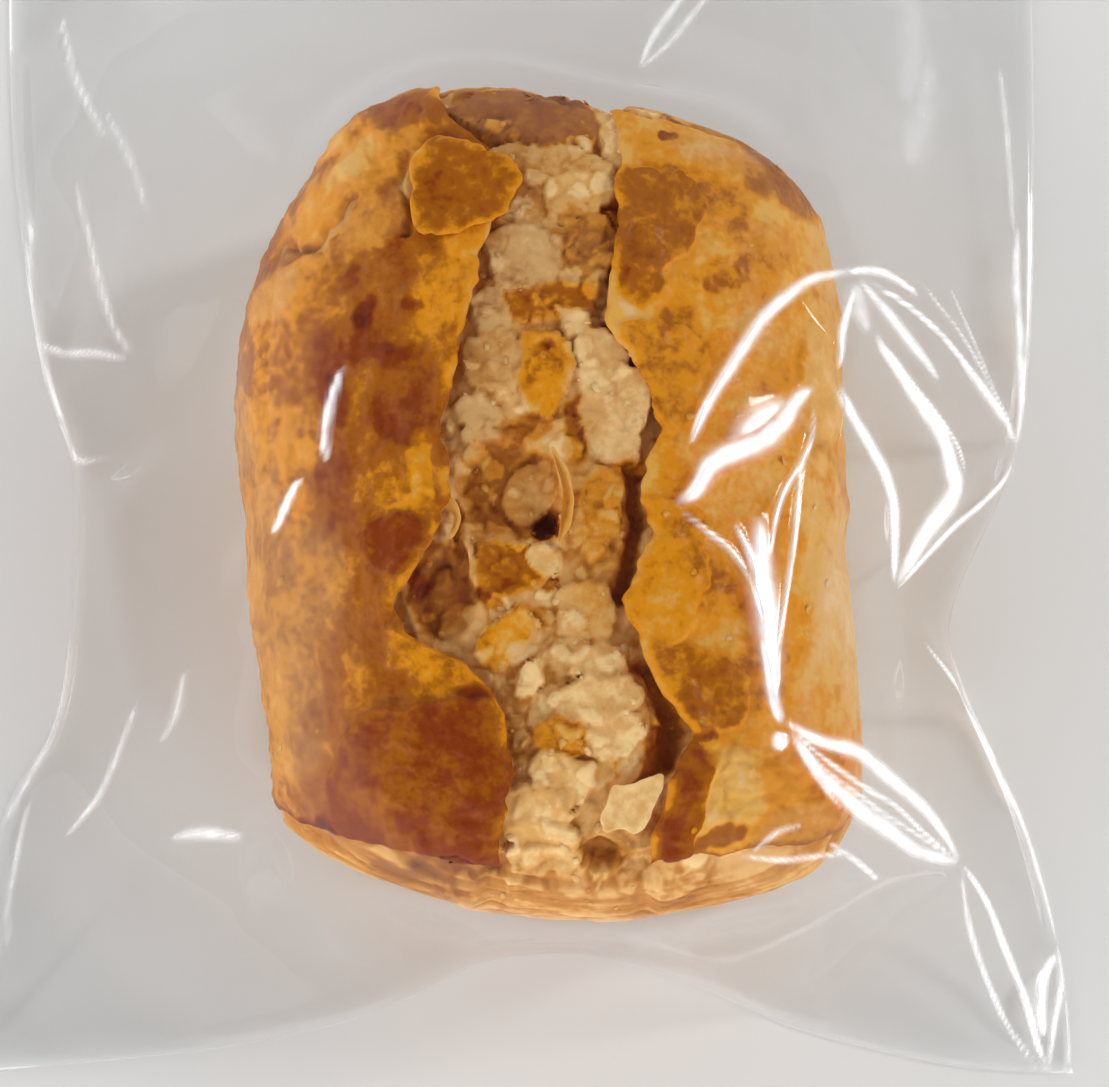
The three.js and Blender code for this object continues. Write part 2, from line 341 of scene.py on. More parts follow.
# A look is three values from 0 to 1: toast (0 pale, 1 burnt), glaze (0 plain dough, 1 egg washed)
# and chalk (0 clear, 1 greyed by steam). A patch is (x, y, half width, half length, turn in
# degrees, strength, toast, glaze, chalk) and mixes what lies under it towards its own look.
CRUST_PATCHES = (
    # left half, from back to front
    (-29.5, -22, 6, 27, 2, 0.75, 0.47, 0.55, 0.85),
    (-20, 17, 6.5, 6.5, 0, 0.7, 0.46, 0.8, 0.35),
    (-21, 17.6, 2.6, 3.2, -20, 0.8, 0.40, 1, 0),
    (-15, 23, 6, 3, 25, 0.7, 0.36, 0.9, 0.4),
    (-11, 19.5, 1.6, 2.6, 0, 0.8, 0.22, 0.2, 0.9),
    (-15, 15.5, 4.2, 3, 20, 0.6, 0.36, 0.6, 0.5),
    (-23.2, 13.2, 2.2, 1, 15, 0.8, 0.74, 0.6, 0.2),
    (-26, 9, 3.2, 3.4, 0, 0.8, 0.50, 0.7, 0.8),
    (-16, 9, 5.5, 4, 0, 0.5, 0.58, 0.8, 0.15),
    (-7.6, 8, 2.8, 6, -12, 0.8, 0.47, 1, 0),
    (-15.7, 5.4, 1.3, 2.2, -10, 0.9, 0.86, 0.9, 0),
    (-10.6, 6.4, 1.3, 1, 0, 0.8, 0.78, 1, 0),
    (-17.8, 9.4, 0.9, 2, -35, 0.7, 0.76, 0.9, 0.1),
    (-19.4, 1, 2, 3.6, 0, 0.7, 0.74, 1, 0),
    (-12.4, 1, 3, 1.2, 0, 0.8, 0.74, 1, 0),
    (-18.6, -4, 1.2, 3, 10, 0.9, 0.84, 1, 0),
    (-10.8, -4, 3.2, 3.4, 0, 0.6, 0.50, 1, 0.1),
    (-26.4, -3, 2.4, 8, 0, 0.6, 0.56, 1, 0),
    (-22.6, -9, 2.2, 7, 0, 0.6, 0.46, 0.8, 0.3),
    (-13, -11, 3.4, 4, 0, 0.7, 0.66, 1, 0),
    (-9.4, -12, 1.6, 5, 0, 0.7, 0.46, 1, 0),
    (-12, -19.6, 3.6, 3.2, 0, 0.95, 0.80, 1, 0),
    (-14.4, -25.6, 2, 2.4, 0, 0.8, 0.60, 1, 0),
    (-22, -24, 5, 8, 0, 0.8, 0.50, 0.7, 0.7),
    (-24, -37, 5, 8, 10, 0.85, 0.46, 0.6, 0.8),
    (-17, -30, 4, 3, 0, 0.6, 0.56, 0.9, 0.2),
    (-12.6, -29.8, 3.4, 1.6, 0, 0.8, 0.62, 1, 0),
    (-6, -33.6, 5.5, 3, 0, 0.7, 0.50, 1, 0),
    (-3.2, -35.8, 2.6, 0.9, 0, 0.9, 0.80, 1, 0),
    (-20.6, -38, 1.3, 2.2, 20, 0.7, 0.66, 0.8, 0.4),
    (-9.6, -44.5, 8.4, 6.6, 0, 0.9, 0.75, 1, 0),
    (-19, -46.6, 4, 3, 0, 0.7, 0.68, 0.8, 0.3),
    (-9, -47.4, 8, 1.4, 0, 0.8, 0.72, 1, 0),
    (-12, -50.2, 11, 1.9, -8, 0.97, 1, 1, 0),
    (-8, -49.3, 7, 0.35, -5, 0.6, 0.66, 1, 0.1),
    (-6.5, -48.6, 6, 0.7, -3, 0.9, 0.96, 1, 0),
    (-1.6, -46, 1.5, 6.5, 0, 0.8, 0.50, 1, 0),
    (-22, -50, 4, 1.8, -25, 0.9, 0.92, 0.9, 0.1),
    # right half, from back to front
    (29, 22.5, 6, 3.4, -25, 0.8, 0.70, 0.7, 0.5),
    (16.8, 25.6, 1.3, 0.8, 0, 0.9, 0.94, 0.8, 0.2),
    (22, 24, 6, 2.2, -10, 0.7, 0.36, 0.7, 0.4),
    (15, 18, 4, 5, 0, 0.7, 0.46, 1, 0.1),
    (22.5, 18, 3.6, 3.6, 0, 0.7, 0.48, 0.9, 0.2),
    (13.6, 9, 2.8, 3.6, 0, 0.8, 0.72, 1, 0),
    (18, 11, 3.2, 3, 0, 0.6, 0.40, 1, 0.3),
    (22.6, 10, 3.4, 2.2, 20, 0.7, 0.56, 1, 0),
    (27, 14, 4, 3, 0, 0.7, 0.52, 0.8, 0.5),
    (27.5, 6, 4, 5, 0, 0.6, 0.36, 0.8, 0.6),
    (17.6, 3.6, 2.6, 4.6, 10, 0.7, 0.54, 1, 0),
    (16.8, -3, 2, 4, 0, 0.8, 0.50, 1, 0),
    (24, -6, 4, 8, 0, 0.5, 0.42, 0.9, 0.2),
    (35, -12, 4.6, 26, 0, 0.85, 0.20, 0.6, 0.4),
    (35.5, 12, 3.4, 9, 0, 0.6, 0.36, 0.7, 0.5),
    (17.4, -13, 2.4, 3, 0, 0.8, 0.44, 1, 0),
    (18, -19, 2.2, 3, 0, 0.8, 0.58, 1, 0),
    (15.2, -25, 2.6, 4.2, 15, 0.85, 0.42, 1, 0),
    (21, -25, 3.4, 3.8, 0, 0.7, 0.54, 1, 0),
    (19.6, -30, 3.4, 2.4, 0, 0.7, 0.40, 1, 0.1),
    (19.4, -36, 3.4, 2.8, 0, 0.8, 0.52, 1, 0),
    (18.8, -39.4, 3, 0.9, -8, 0.9, 0.80, 1, 0),
    (26.5, -33, 3.4, 3.4, 0, 0.6, 0.58, 0.9, 0.3),
    (27, -41, 4.6, 5.4, 0, 0.7, 0.38, 0.9, 0.3),
    (17.4, -47, 2.6, 7, -14, 0.95, 0.72, 1, 0),
    (14.8, -52.4, 2.6, 1.8, 0, 0.9, 0.80, 1, 0),
    (21.6, -50.2, 3.4, 1, 25, 0.9, 0.78, 0.9, 0.2),
    (30, -50, 6, 3.2, 22, 0.8, 0.30, 0.5, 0.6),
)
DOUGH_PATCHES = (
    (2.6, 27.4, 9, 3.4, -8, 0.9, 0.66, 0.8, 0.6),
    (7.2, 26.2, 1.6, 1.3, 0, 0.9, 0.96, 0.9, 0.1),
    (-1.6, 28.6, 2.4, 1, -10, 0.8, 0.90, 0.8, 0.2),
    (1, 31.2, 8, 1.2, -8, 0.7, 0.50, 1, 0),
    (12.4, 25.6, 1.4, 4.4, 35, 0.9, 0.04, 0.1, 0.2),
    (4.3, 22.8, 7, 1.6, 0, 0.8, 0.28, 0.2, 0.4),
    (7, 19, 3.7, 2.4, 0, 0.9, 0.10, 0.35, 0),
    (0.4, 18.4, 2.4, 2.4, 0, 0.7, 0.30, 0.1, 0.6),
    (1, 11.3, 4.2, 3.7, 0, 0.9, 0.26, 0, 0.8),
    (8.7, 13, 3.2, 3.8, 0, 0.8, 0.50, 0.5, 0.3),
    (11.8, 13.5, 2.2, 7, 0, 0.9, 0.66, 1, 0),
    (3.8, 6.4, 5.2, 1.7, 12, 0.9, 0.58, 0.9, 0),
    (-2.6, 5.3, 2.3, 2.3, 0, 0.8, 0.30, 0, 0.8),
    (9.6, 5.6, 2.4, 2, 0, 0.8, 0.34, 0.1, 0.5),
    (-1.7, 0, 3.4, 2.8, 0, 0.8, 0.38, 0.2, 0.6),
    (9.7, -0.7, 3, 3.5, 0, 0.9, 0.14, 0, 0.3),
    (13, -4, 1.5, 3.4, 0, 0.9, 0.02, 0, 0.15),
    (10.6, -7.3, 2.8, 3, 0, 0.8, 0.16, 0.1, 0.4),
    (8, -5.6, 2, 1.8, 0, 0.8, 0.60, 0.9, 0),
    (3.4, -2.2, 2.3, 4.6, 5, 1, 0.46, 1, 0),
    (3.5, 1.7, 0.8, 0.7, 0, 1, 1, 0.6, 0),
    (-3.6, -5.6, 2.5, 1.5, 0, 0.9, 0.20, 0, 0.9),
    (-3.4, -8, 2.3, 1.1, 0, 0.9, 0.22, 0, 0.9),
    (1.6, -7.2, 2.4, 1.6, 0, 0.8, 0.70, 0.7, 0),
    (7, -8.6, 1.6, 2.6, 0, 0.8, 0.56, 1, 0),
    (12.8, -11.4, 1.8, 1.6, 0, 0.9, 0.44, 1, 0),
    (9, -17, 3.4, 6, 0, 0.8, 0.42, 0.6, 0.2),
    (-0.4, -13.8, 5.3, 5.6, 0, 0.9, 0.54, 0.75, 0.15),
    (2, -14, 2.3, 3.5, -20, 0.9, 0.30, 0.3, 0.45),
    (3.6, -17.7, 1.6, 1.8, -35, 1, 0.86, 0.9, 0),
    (-7.4, -24.4, 3.4, 5.2, -8, 0.95, 0.62, 0.8, 0.2),
    (-10.2, -23.6, 1, 2, 0, 0.9, 0.84, 0.8, 0),
    (-0.4, -22.4, 3.8, 2.8, 10, 0.9, 0.58, 1, 0),
    (-2.4, -25.4, 1.6, 1.4, 0, 0.8, 0.74, 1, 0),
    (4.3, -23.8, 1.1, 0.8, 0, 0.9, 0.84, 0.6, 0),
    (-0.8, -30, 3, 2.2, 20, 0.9, 0.42, 1, 0),
    (2.7, -27.3, 1.2, 1.1, 0, 0.8, 0.52, 0.7, 0),
    (9, -26.4, 3, 3.6, 0, 0.7, 0.32, 0.4, 0.3),
    (8.5, -37.6, 5.4, 4.2, 0, 0.9, 0.06, 0, 0.1),
    (9.3, -32.4, 3, 1.3, 0, 0.9, 0.14, 0, 0.4),
    (1.8, -34.2, 1.6, 1.8, 20, 0.9, 0.02, 0, 0.1),
    (5.2, -40.9, 2.5, 1.7, 0, 0.9, 0.42, 0.9, 0),
    (15.8, -40.6, 1.8, 3.6, 0, 0.95, 0.62, 1, 0),
    (3.4, -44.6, 3.4, 2.4, 0, 0.8, 0.12, 0.2, 0),
    (9.4, -43.4, 2.4, 1.6, 0, 0.8, 0.36, 0.7, 0),
    (2.3, -49.5, 4.4, 4.2, 0, 0.8, 0.14, 0.25, 0),
    (9.4, -52.8, 3, 1.8, 0, 0.9, 0.62, 0.3, 0.2),
    (-10, -54.6, 9, 3, 10, 0.8, 0.48, 0.2, 0.6),
    (28, -54, 10, 3, -12, 0.8, 0.12, 0.1, 0.5),
)


def oval_reach(plan, x, y, half_x, half_y, turn):
    """How far out plan positions lie in a turned oval: 0 in its middle and 1 on its rim."""
    angle = math.radians(turn)
    dx, dy = plan[..., 0] - x, plan[..., 1] - y
    across = (dx * math.cos(angle) + dy * math.sin(angle)) / half_x
    along = (dy * math.cos(angle) - dx * math.sin(angle)) / half_y
    return np.hypot(across, along)


def warped(points):
    """Plan positions shaken a little, so that whatever is laid out on them has ragged edges."""
    shake = [
        0.8 * TOAST_NOISE.at(points + 50 * k, 3.4) + 0.4 * TOAST_NOISE.at(points + 50 * k, 1.2)
        for k in (1, 2)
    ]
    return points[..., :2] + np.stack(shake, axis=-1)


def patched(points, look, patches):
    """The look of each point, mixed towards every patch it lies in."""
    plan = warped(points)
    for *oval, strength, toast, glaze, chalk in patches:
        inside = strength * smooth_step(1.2, 0.72, oval_reach(plan, *oval))
        look = [mix(value, wanted, inside) for value, wanted in zip(look, (toast, glaze, chalk))]
    return look


def uneven(points, look, amount=1.0):
    """A look with the oven's unevenness, as values that a mesh can carry."""
    toast, glaze, chalk = look
    broad = 0.11 * TOAST_NOISE.layered(points, 8, 3)
    fine = 0.12 * TOAST_NOISE.layered(points + 90, 2.4, 3)
    misty = 0.3 * TOAST_NOISE.layered(points + 140, 6, 3)
    return {
        "toast": toast + (broad + fine) * amount,
        "glaze": np.clip(glaze + 0.5 * fine, 0, 1),
        "chalk": np.clip(chalk + misty * np.clip(chalk + 0.2, 0, 1), 0, 1),
    }


# ---- Flakes that are part of a surface ----

FLAKE_NOISE = Noise(51)

# A flake is (lift, lift at the rim, slope to the right, slope to the back, look, outline): lift is
# over the plain loaf for flakes in the split, and over what lies below for flakes of the crust
CRUST_FLAKES = (
    (0.70, 0.2, 0, 0, (0.70, 1, 0),
     ((-15, -37.8), (-8, -36.6), (-2.4, -36.8), (1.2, -39.6), (1.4, -44.6), (0.2, -51.6),
      (-9.6, -51.4), (-18, -49.4), (-18.4, -43))),
    (0.40, 0.2, 0, 0, (0.80, 1, 0),
     ((-15.3, -18.2), (-12.7, -16.8), (-9, -17.6), (-8.2, -20.7), (-10.6, -23.4), (-14.5, -22.6))),
    (0.50, 0.2, 0, 0, (0.47, 1, 0),
     ((11.2, -18.6), (15.6, -15.4), (19.6, -17), (20.4, -22.6), (18.6, -28.6), (15.2, -31.2),
      (9.6, -30.8))),
    (0.40, 0.2, 0, 0, (0.58, 1, 0),
     ((13, -31.6), (20.4, -31), (24.4, -34.6), (23, -38.6), (15.6, -38.8))),
    (0.50, 0.2, 0, 0, (0.74, 1, 0),
     ((17.4, -39.6), (20.6, -43.2), (19.6, -48), (17.4, -54), (11.6, -55.2), (11, -51.6),
      (13.4, -44.6))),
    (0.30, 0.2, 0, 0, (0.50, 1, 0.1),
     ((11.6, 2.6), (16, 4.4), (20.4, 1.6), (19.6, -4.4), (15.8, -8.6), (12.4, -5.6))),
    (0.30, 0.2, 0, 0, (0.62, 1, 0.1),
     ((9.4, 19.8), (17.4, 21.4), (20.4, 17.2), (18.2, 11.6), (13.8, 9.6), (9.2, 11.6))),
)
SPLIT_FLAKES = (
    (-0.2, 0.3, 0, 0.03, (0.68, 0.8, 0.6),
     ((-6.6, 30), (0, 32.2), (8.4, 29.8), (9.8, 26), (3.6, 24.6), (-2.6, 25.4), (-6.4, 27.6))),
    (0, 0.3, 0.04, 0, (0.05, 0.1, 0.1),
     ((9.4, 29.4), (12, 27.4), (15.4, 23.2), (14.6, 21.4), (11.4, 22.6), (9.6, 25.6))),
    (-0.8, 0.2, 0, 0, (0.26, 0.2, 0.4),
     ((-2.8, 24), (3.6, 24.4), (10.8, 23.4), (10.4, 21.6), (4, 21.2), (-2, 22))),
    (-0.7, 0.2, 0.02, 0, (0.12, 0.3, 0),
     ((3.4, 20.6), (7.2, 21.4), (10.4, 20.6), (10.8, 17.8), (7.3, 16.6), (3.6, 17.4))),
    (-0.8, 0.2, -0.02, 0, (0.27, 0, 0.8),
     ((-2.9, 13.4), (-0.3, 15), (4.2, 14.4), (5.3, 11), (3.8, 8.2), (-0.2, 7.7), (-2.6, 9.6))),
    (-1, 0.2, 0.03, 0, (0.50, 0.5, 0.3),
     ((5.8, 16.2), (9.6, 16.8), (11.4, 13.5), (10.4, 9.4), (6.8, 9.8))),
    (-0.8, 0.3, 0, 0.04, (0.58, 0.9, 0),
     ((-1.2, 6.2), (1.9, 8.2), (8.9, 8.8), (8.5, 6.3), (5.1, 4.6), (0.6, 3.9))),
    (-0.9, 0.2, -0.02, 0, (0.30, 0, 0.8),
     ((-4.9, 6.8), (-2.4, 8), (-0.6, 6.8), (-0.8, 3.2), (-3.8, 2.9))),
    (-0.7, 0.6, 0, 0.03, (0.10, 0.2, 0.2),
     ((4.9, 5.4), (6.7, 6.2), (8.3, 5.2), (8, 3.2), (5.5, 2.8))),
    (-0.7, 0.2, 0, 0, (0.38, 0.1, 0.6),
     ((-4.9, 2.6), (-1.3, 3.1), (0.9, 1.8), (0.6, -2), (-3.4, -3), (-5.2, -0.9))),
    (-0.4, 0.3, 0.02, 0.05, (0.44, 1, 0),
     ((1, 2), (3.6, 3.2), (6.3, 1.5), (5.8, -3.7), (3.8, -6.4), (1.4, -4.8))),
    (-0.3, 0.4, 0.05, 0.02, (0.14, 0, 0.3),
     ((6.8, 2.4), (9.4, 3.6), (12.6, 1.3), (13.1, -2), (11.5, -4.4), (8.3, -4.1), (6.9, -0.9))),
    (0.2, 0.4, 0.06, 0, (0.10, 0, 0.1),
     ((11.6, -0.2), (13.8, -0.6), (14.8, -4.2), (13.9, -7.7), (12.2, -6.6), (11.3, -3.7))),
    (-0.5, 0.4, 0.03, -0.04, (0.16, 0.1, 0.4),
     ((7.5, -4.2), (10.9, -4), (13.4, -6.9), (13.4, -10.2), (10.2, -10.8), (8.1, -8.6))),
    (-0.5, 0.2, -0.03, 0, (0.20, 0, 0.9),
     ((-6.2, -4.8), (-3.6, -3.9), (-1.1, -5.1), (-1.4, -6.8), (-4.5, -7.2))),
    (-0.6, 0.2, -0.03, 0, (0.22, 0, 0.9),
     ((-5.5, -7.4), (-2.9, -6.9), (-1.1, -7.9), (-1.8, -9.1), (-5, -8.9))),
    (-1.7, 0.2, 0.06, 0, (0.30, 0.3, 0.45),
     ((-0.9, -15), (0.2, -12), (2.8, -10.6), (4.3, -12.5), (4.1, -15.5), (2, -17), (0.2, -17.2))),
    (-0.5, 0.5, 0.10, 0, (0.16, 0.1, 0.2),
     ((-5.8, -18.8), (-4, -20.6), (-3.2, -24.2), (-4, -24), (-4.9, -21.2))),
    (-0.7, 0.3, 0, 0.02, (0.58, 1, 0),
     ((-3.6, -20.2), (-1, -19.4), (2.3, -20.4), (3.5, -23.1), (0.7, -25.3), (-2.9, -24.8))),
    (-0.3, 0.4, 0.05, 0.05, (0.14, 0.2, 0.2),
     ((1.8, -21.6), (3.5, -19.8), (5.5, -21.5), (4.7, -22.9))),
    (-0.7, 0.3, 0, 0, (0.40, 0.8, 0.1),
     ((6.9, -13), (9.6, -11.4), (11.6, -13), (11, -18.6), (8.8, -21.8), (6.6, -18.8))),
    (-0.7, 0.3, 0, 0.03, (0.30, 0.5, 0.3),
     ((4.8, -25.6), (8.2, -23.4), (10.2, -24.8), (10.6, -28.6), (7.6, -29.8))),
    (-0.2, 0.4, 0, 0.06, (0.42, 1, 0),
     ((-3.9, -31.4), (-2.6, -28.6), (0.4, -26.6), (2.2, -28), (0.8, -31), (-1.8, -33))),
    (-0.2, 0.4, 0.04, 0.04, (0.02, 0, 0.1),
     ((0.1, -35.2), (1.4, -32.7), (3.4, -32), (3.2, -34.5), (1.3, -36.2))),
    (-0.2, 0.4, 0, 0.05, (0.14, 0, 0.4),
     ((6.2, -32.2), (8.2, -30.8), (11.9, -31.5), (12.6, -33.5), (9.2, -34.3), (6.5, -33.7))),
    (0.1, 0.3, 0, 0.04, (0.08, 0, 0.1),
     ((4, -36), (7, -34.2), (11.6, -34), (13.6, -36.4), (11, -38.2), (6.6, -38.4))),
    (-0.3, 0.3, 0.04, 0.05, (0.03, 0, 0.05),
     ((7, -37.8), (11.6, -37.4), (13.8, -38.8), (13, -41.4), (9.4, -42.6), (7.2, -40.6))),
    (-0.6, 0.3, -0.03, 0.04, (0.42, 0.9, 0),
     ((2.9, -38.8), (7, -38.3), (8, -40.9), (5.1, -43.1), (2.9, -41.9))),
    (-0.5, 0.3, 0, 0.05, (0.10, 0.1, 0),
     ((1.8, -43.2), (4.7, -41.8), (8.4, -43.2), (7.7, -46.4), (3.5, -47))),
    (-0.5, 0.3, 0, 0.08, (0.12, 0.2, 0),
     ((-1.7, -46.6), (1.9, -45.2), (5.1, -46.4), (6.2, -48.8), (2.4, -49.6), (-1.4, -49))),
    (-0.6, 0.3, 0, 0.08, (0.18, 0.3, 0),
     ((-1.4, -49.4), (2.4, -48.8), (6.8, -49.6), (6.2, -51.8), (1.4, -52.2))),
    (-0.7, 0.3, 0, 0.08, (0.10, 0.1, 0.1),
     ((-1, -51.8), (3, -51.2), (7.6, -52.4), (5, -54.4), (0.4, -54.2))),
)


def closed_curve(corners, steps):
    """Points evenly along a smooth closed curve through corners, always anticlockwise."""
    corners = np.array(corners, float)
    following = np.roll(corners, -1, axis=0)
    area = np.sum(corners[:, 0] * following[:, 1] - corners[:, 1] * following[:, 0])
    if area < 0:
        corners = corners[::-1]
    laps = np.vstack((corners[-1:], corners, corners[:2]))
    rows = curve_table(laps, 12)[1]
    rows = rows[12:12 * (len(corners) + 1) + 1]
    length = lengths_along(rows)
    places = np.linspace(0, length[-1], steps, endpoint=False)
    return along_curve((length, rows), places)


def from_stretch(spots, start, end):
    """Distance of spots from a straight stretch, and the share along it where each is nearest."""
    run = end - start
    share = np.clip(((spots - start) @ run) / (run @ run), 0, 1)
    gap = spots - start - share[..., None] * run
    return np.hypot(gap[..., 0], gap[..., 1]), share


def inside_distance(spots, loop):
    """Distance of each spot (x, y) from a closed loop, positive inside it."""
    nearest = np.full(len(spots), FAR)
    inside = np.zeros(len(spots), bool)
    for start, end in zip(loop, np.roll(loop, -1, axis=0)):
        run = end - start
        nearest = np.minimum(nearest, from_stretch(spots, start, end)[0])
        crosses = (start[1] > spots[:, 1]) != (end[1] > spots[:, 1])
        if run[1]:
            reach = start[0] + run[0] * (spots[:, 1] - start[1]) / run[1]
            inside ^= crosses & (spots[:, 0] < reach)
    return np.where(inside, nearest, -nearest)


def chance_flakes(seed, number, low, high, sizes, lifts, shades, length=1.0):
    """Flakes strewn by chance in a rectangle, each with six to nine corners."""
    chance = np.random.default_rng(seed)
    flakes = []
    for _ in range(number):
        centre = chance.uniform(low, high)
        size = chance.uniform(*sizes)
        corners = chance.integers(6, 10)
        angle = np.linspace(0, 2 * math.pi, corners, endpoint=False) + chance.uniform(0, 6)
        reach = size * chance.uniform(0.6, 1.25, corners)
        outline = centre + np.column_stack((np.cos(angle) * reach, np.sin(angle) * reach * length))
        slopes = chance.uniform(-0.08, 0.08, 2)
        flakes.append((chance.uniform(*lifts), 0.12, *slopes, chance.uniform(*shades), outline))
    return flakes


def flaked(points, level, look, flakes, soft, on_top=True, lowest=12, rim_and_painted_shade=1.0):
    """Level and look of a surface once thin ragged flakes lie on it.

    soft is the width of a flake's edge. The last argument says how much paler a flake's rim turns and
    how dark the painted shade is that lies just outside it, where the flake would cast a shadow. With
    on_top, lifts count from what lies below; otherwise they count from the plain loaf. Nothing is
    laid below the height lowest. A flake whose look is a single number only shades what lies there.
    """
    plan = warped(points)
    level = level.copy()
    toast, glaze, chalk = (np.array(np.broadcast_to(value, level.shape), float) for value in look)
    for lift, curl, right, back, wanted, outline in flakes:
        loop = closed_curve(outline, 34)
        reach = 0.8 + soft
        near = np.all((plan > loop.min(0) - reach) & (plan < loop.max(0) + reach), axis=-1)
        near &= points[..., 2] > lowest
        if not near.any():
            continue
        spots = plan[near]
        inner = inside_distance(spots, loop)
        deep = np.clip(inner, 0, None)
        rise = lift + (spots - loop.mean(0)) @ np.array((right, back)) + curl * np.exp(-deep / 0.6)
        if not on_top:
            rise = rise + 0.16 * FLAKE_NOISE.layered(points[near], (3.0, 1.6, 3.0), 3)
        rise = np.maximum(rise, 0.04) if on_top else rise
        cover = smooth_step(-soft, soft, inner)
        below = level[near]
        level[near] = mix(below, below + rise if on_top else np.maximum(below + 0.12, rise), cover)
        rim = cover * np.exp(-deep / 0.45) * 0.14 / soft
        # painted shade: a dark line just outside the flake's edge, where the flake would cast a shadow
        shaded = np.exp(-(((inner + 0.3) / 0.3) ** 2)) * (1 - cover) * 0.14 / soft
        if np.ndim(wanted):
            toast[near] = mix(toast[near], wanted[0], 0.8 * cover)
            glaze[near] = mix(glaze[near], wanted[1], 0.8 * cover)
            chalk[near] = mix(chalk[near], wanted[2], 0.8 * cover)
        else:
            toast[near] += wanted * cover
        # painted shade outside the flake, and a paler rim just inside its edge
        toast[near] += rim_and_painted_shade * (0.12 * shaded - 0.16 * rim * np.clip(toast[near] * 2, 0, 1))
    return level, (toast, glaze, chalk)


# ---- The crust ----

CRUST_NOISE = Noise(31)
# Cracks in the crust: depth, half width, then the points it runs through
CRUST_CRACKS = (
    (0.9, 0.45, ((-24.6, 15), (-23.2, 13.3), (-21, 13), (-19.6, 15), (-17.9, 16.4), (-17.4, 18.4))),
    (0.7, 0.35, ((-11.6, 23), (-12.2, 19.6), (-10.8, 17), (-11.2, 14))),
    (0.2, 0.5, ((-16.4, 26.5), (-14.8, 23), (-12.4, 21.4))),
    (0.2, 0.45, ((-24, 4), (-22.8, -2), (-23.6, -8), (-22.6, -14))),
    (0.2, 0.45, ((-20.6, -22), (-21.6, -29), (-20.4, -35), (-22, -41))),
    (0.35, 0.4, ((13.8, 22.4), (17, 21), (20.6, 21.8), (24, 20.4))),
    (0.35, 0.4, ((21, -35.6), (22.4, -40), (21.4, -44), (22.6, -48))),
    (0.2, 0.45, ((23.4, -42.6), (26, -43), (29.4, -41.6))),
    (0.2, 0.45, ((22.6, -46.4), (26.6, -46), (30.4, -47.2))),
)


def line_distance(points, route):
    """Distance in plan from each point to a route of straight stretches."""
    nearest = np.full(points.shape[:-1], FAR)
    for start, end in zip(np.array(route), np.array(route)[1:]):
        nearest = np.minimum(nearest, from_stretch(points[..., :2], start, end)[0])
    return nearest


def crack_depth(points, cracks):
    """Depth of the deepest crack at each point."""
    place = np.concatenate((warped(points), points[..., 2:]), axis=-1)
    total = np.zeros(points.shape[:-1])
    for depth, half, route in cracks:
        far = line_distance(place, route)
        total = np.maximum(total, depth * smooth_step(half * 1.7, half * 0.3, far))
    return total


def stairs(level, sharp=0.10):
    """Rounds a height into flat steps with a short rise, the edge of each step lifted a little."""
    step = np.floor(level)
    part = level - step
    lifted = 0.16 * np.exp(-(((part - 0.5 - 1.6 * sharp) / (1.2 * sharp)) ** 2))
    return step + smooth_step(0.5 - sharp, 0.5 + sharp, part) + lifted


def crust_relief(points):
    """Wrinkles, flaking layers, blisters and dents of the crust's outer face, in millimetres."""
    warp = np.stack([1.6 * CRUST_NOISE.at(points + k * 19, 5.0) for k in range(3)], axis=-1)
    wrinkle = 1 - np.abs(CRUST_NOISE.layered(points + 0.5 * warp, (2.4, 11, 2.4), 2))
    left_side = smooth_step(2, -14, points[..., 0])
    front = smooth_step(-31, -38, points[..., 1])
    creased = 1 - np.abs(CRUST_NOISE.layered(points + 0.4 * warp + 55, (8, 1.7, 5), 2))
    layers = stairs(2.2 * CRUST_NOISE.layered(points + warp, (9, 11, 9), 4), 0.07)
    blister = smooth_step(0.28, 0.75, CRUST_NOISE.at(points + 20, 1.8))
    bubble = smooth_step(0.30, 0.80, CRUST_NOISE.at(points + 70, 4.2))
    grain = CRUST_NOISE.layered(points + 40, 1.2, 3)
    return (
        0.16 * (wrinkle**3 - 0.5) * mix(0.2, 1.0, left_side) * (1 - front)
        + 0.20 * (creased**3 - 0.5) * front
        + 0.05 * layers
        + 0.14 * blister
        + 0.26 * bubble
        + 0.14 * grain
        - crack_depth(points, CRUST_CRACKS)
    )


ROW_SAMPLES = 420
ROW_START = 0.16  # share of the loaf's width by which rows start past its middle, beyond the lip
LIP_NEIGHBOURS = 22  # rows over which the lip's teeth fade out of the rows' starts
LIP_FADE = 9  # and the distance from the lip over which they do


def rows_to_base(lip, sign, t):
    """For each t, points from the lip over the side to the base, evenly enough to read along."""
    start = 0.5 - ROW_START * sign
    rim = 0.0 if sign < 0 else 1.0
    ease = np.linspace(0, 1, ROW_SAMPLES)
    over = mix(start, rim, 1 - (1 - ease) ** 2.2)
    down = np.linspace(0, 1, ROW_SAMPLES // 3)[1:]
    s = np.concatenate((over, np.full(len(down), rim)))
    under = np.concatenate((np.zeros(ROW_SAMPLES), down))
    points = loaf_point(s[None, :], t[:, None], under[None, :])
    beyond = sign * (points[..., 0] - lip_x(lip, points[..., 1], sign))
    first = np.argmax(beyond > 0, axis=1)
    length = np.cumsum(np.linalg.norm(np.diff(points, axis=1), axis=2), axis=1)
    length = np.pad(length, ((0, 0), (1, 0)))
    row = np.arange(len(t))
    before = np.maximum(first - 1, 0)
    gap = beyond[row, first] - beyond[row, before]
    part = np.where(gap > 0, -beyond[row, before] / np.where(gap == 0, 1, gap), 0)
    origin = mix(length[row, before], length[row, first], np.clip(part, 0, 1))
    return points, length, origin


def softened(values, reach):
    """A row of values with its jumps spread over about reach neighbours on either side."""
    span = np.arange(-3 * reach, 3 * reach + 1)
    weights = np.exp(-((span / reach) ** 2))
    padded = np.pad(values, 3 * reach, mode="edge")
    return np.convolve(padded, weights / weights.sum(), mode="valid")


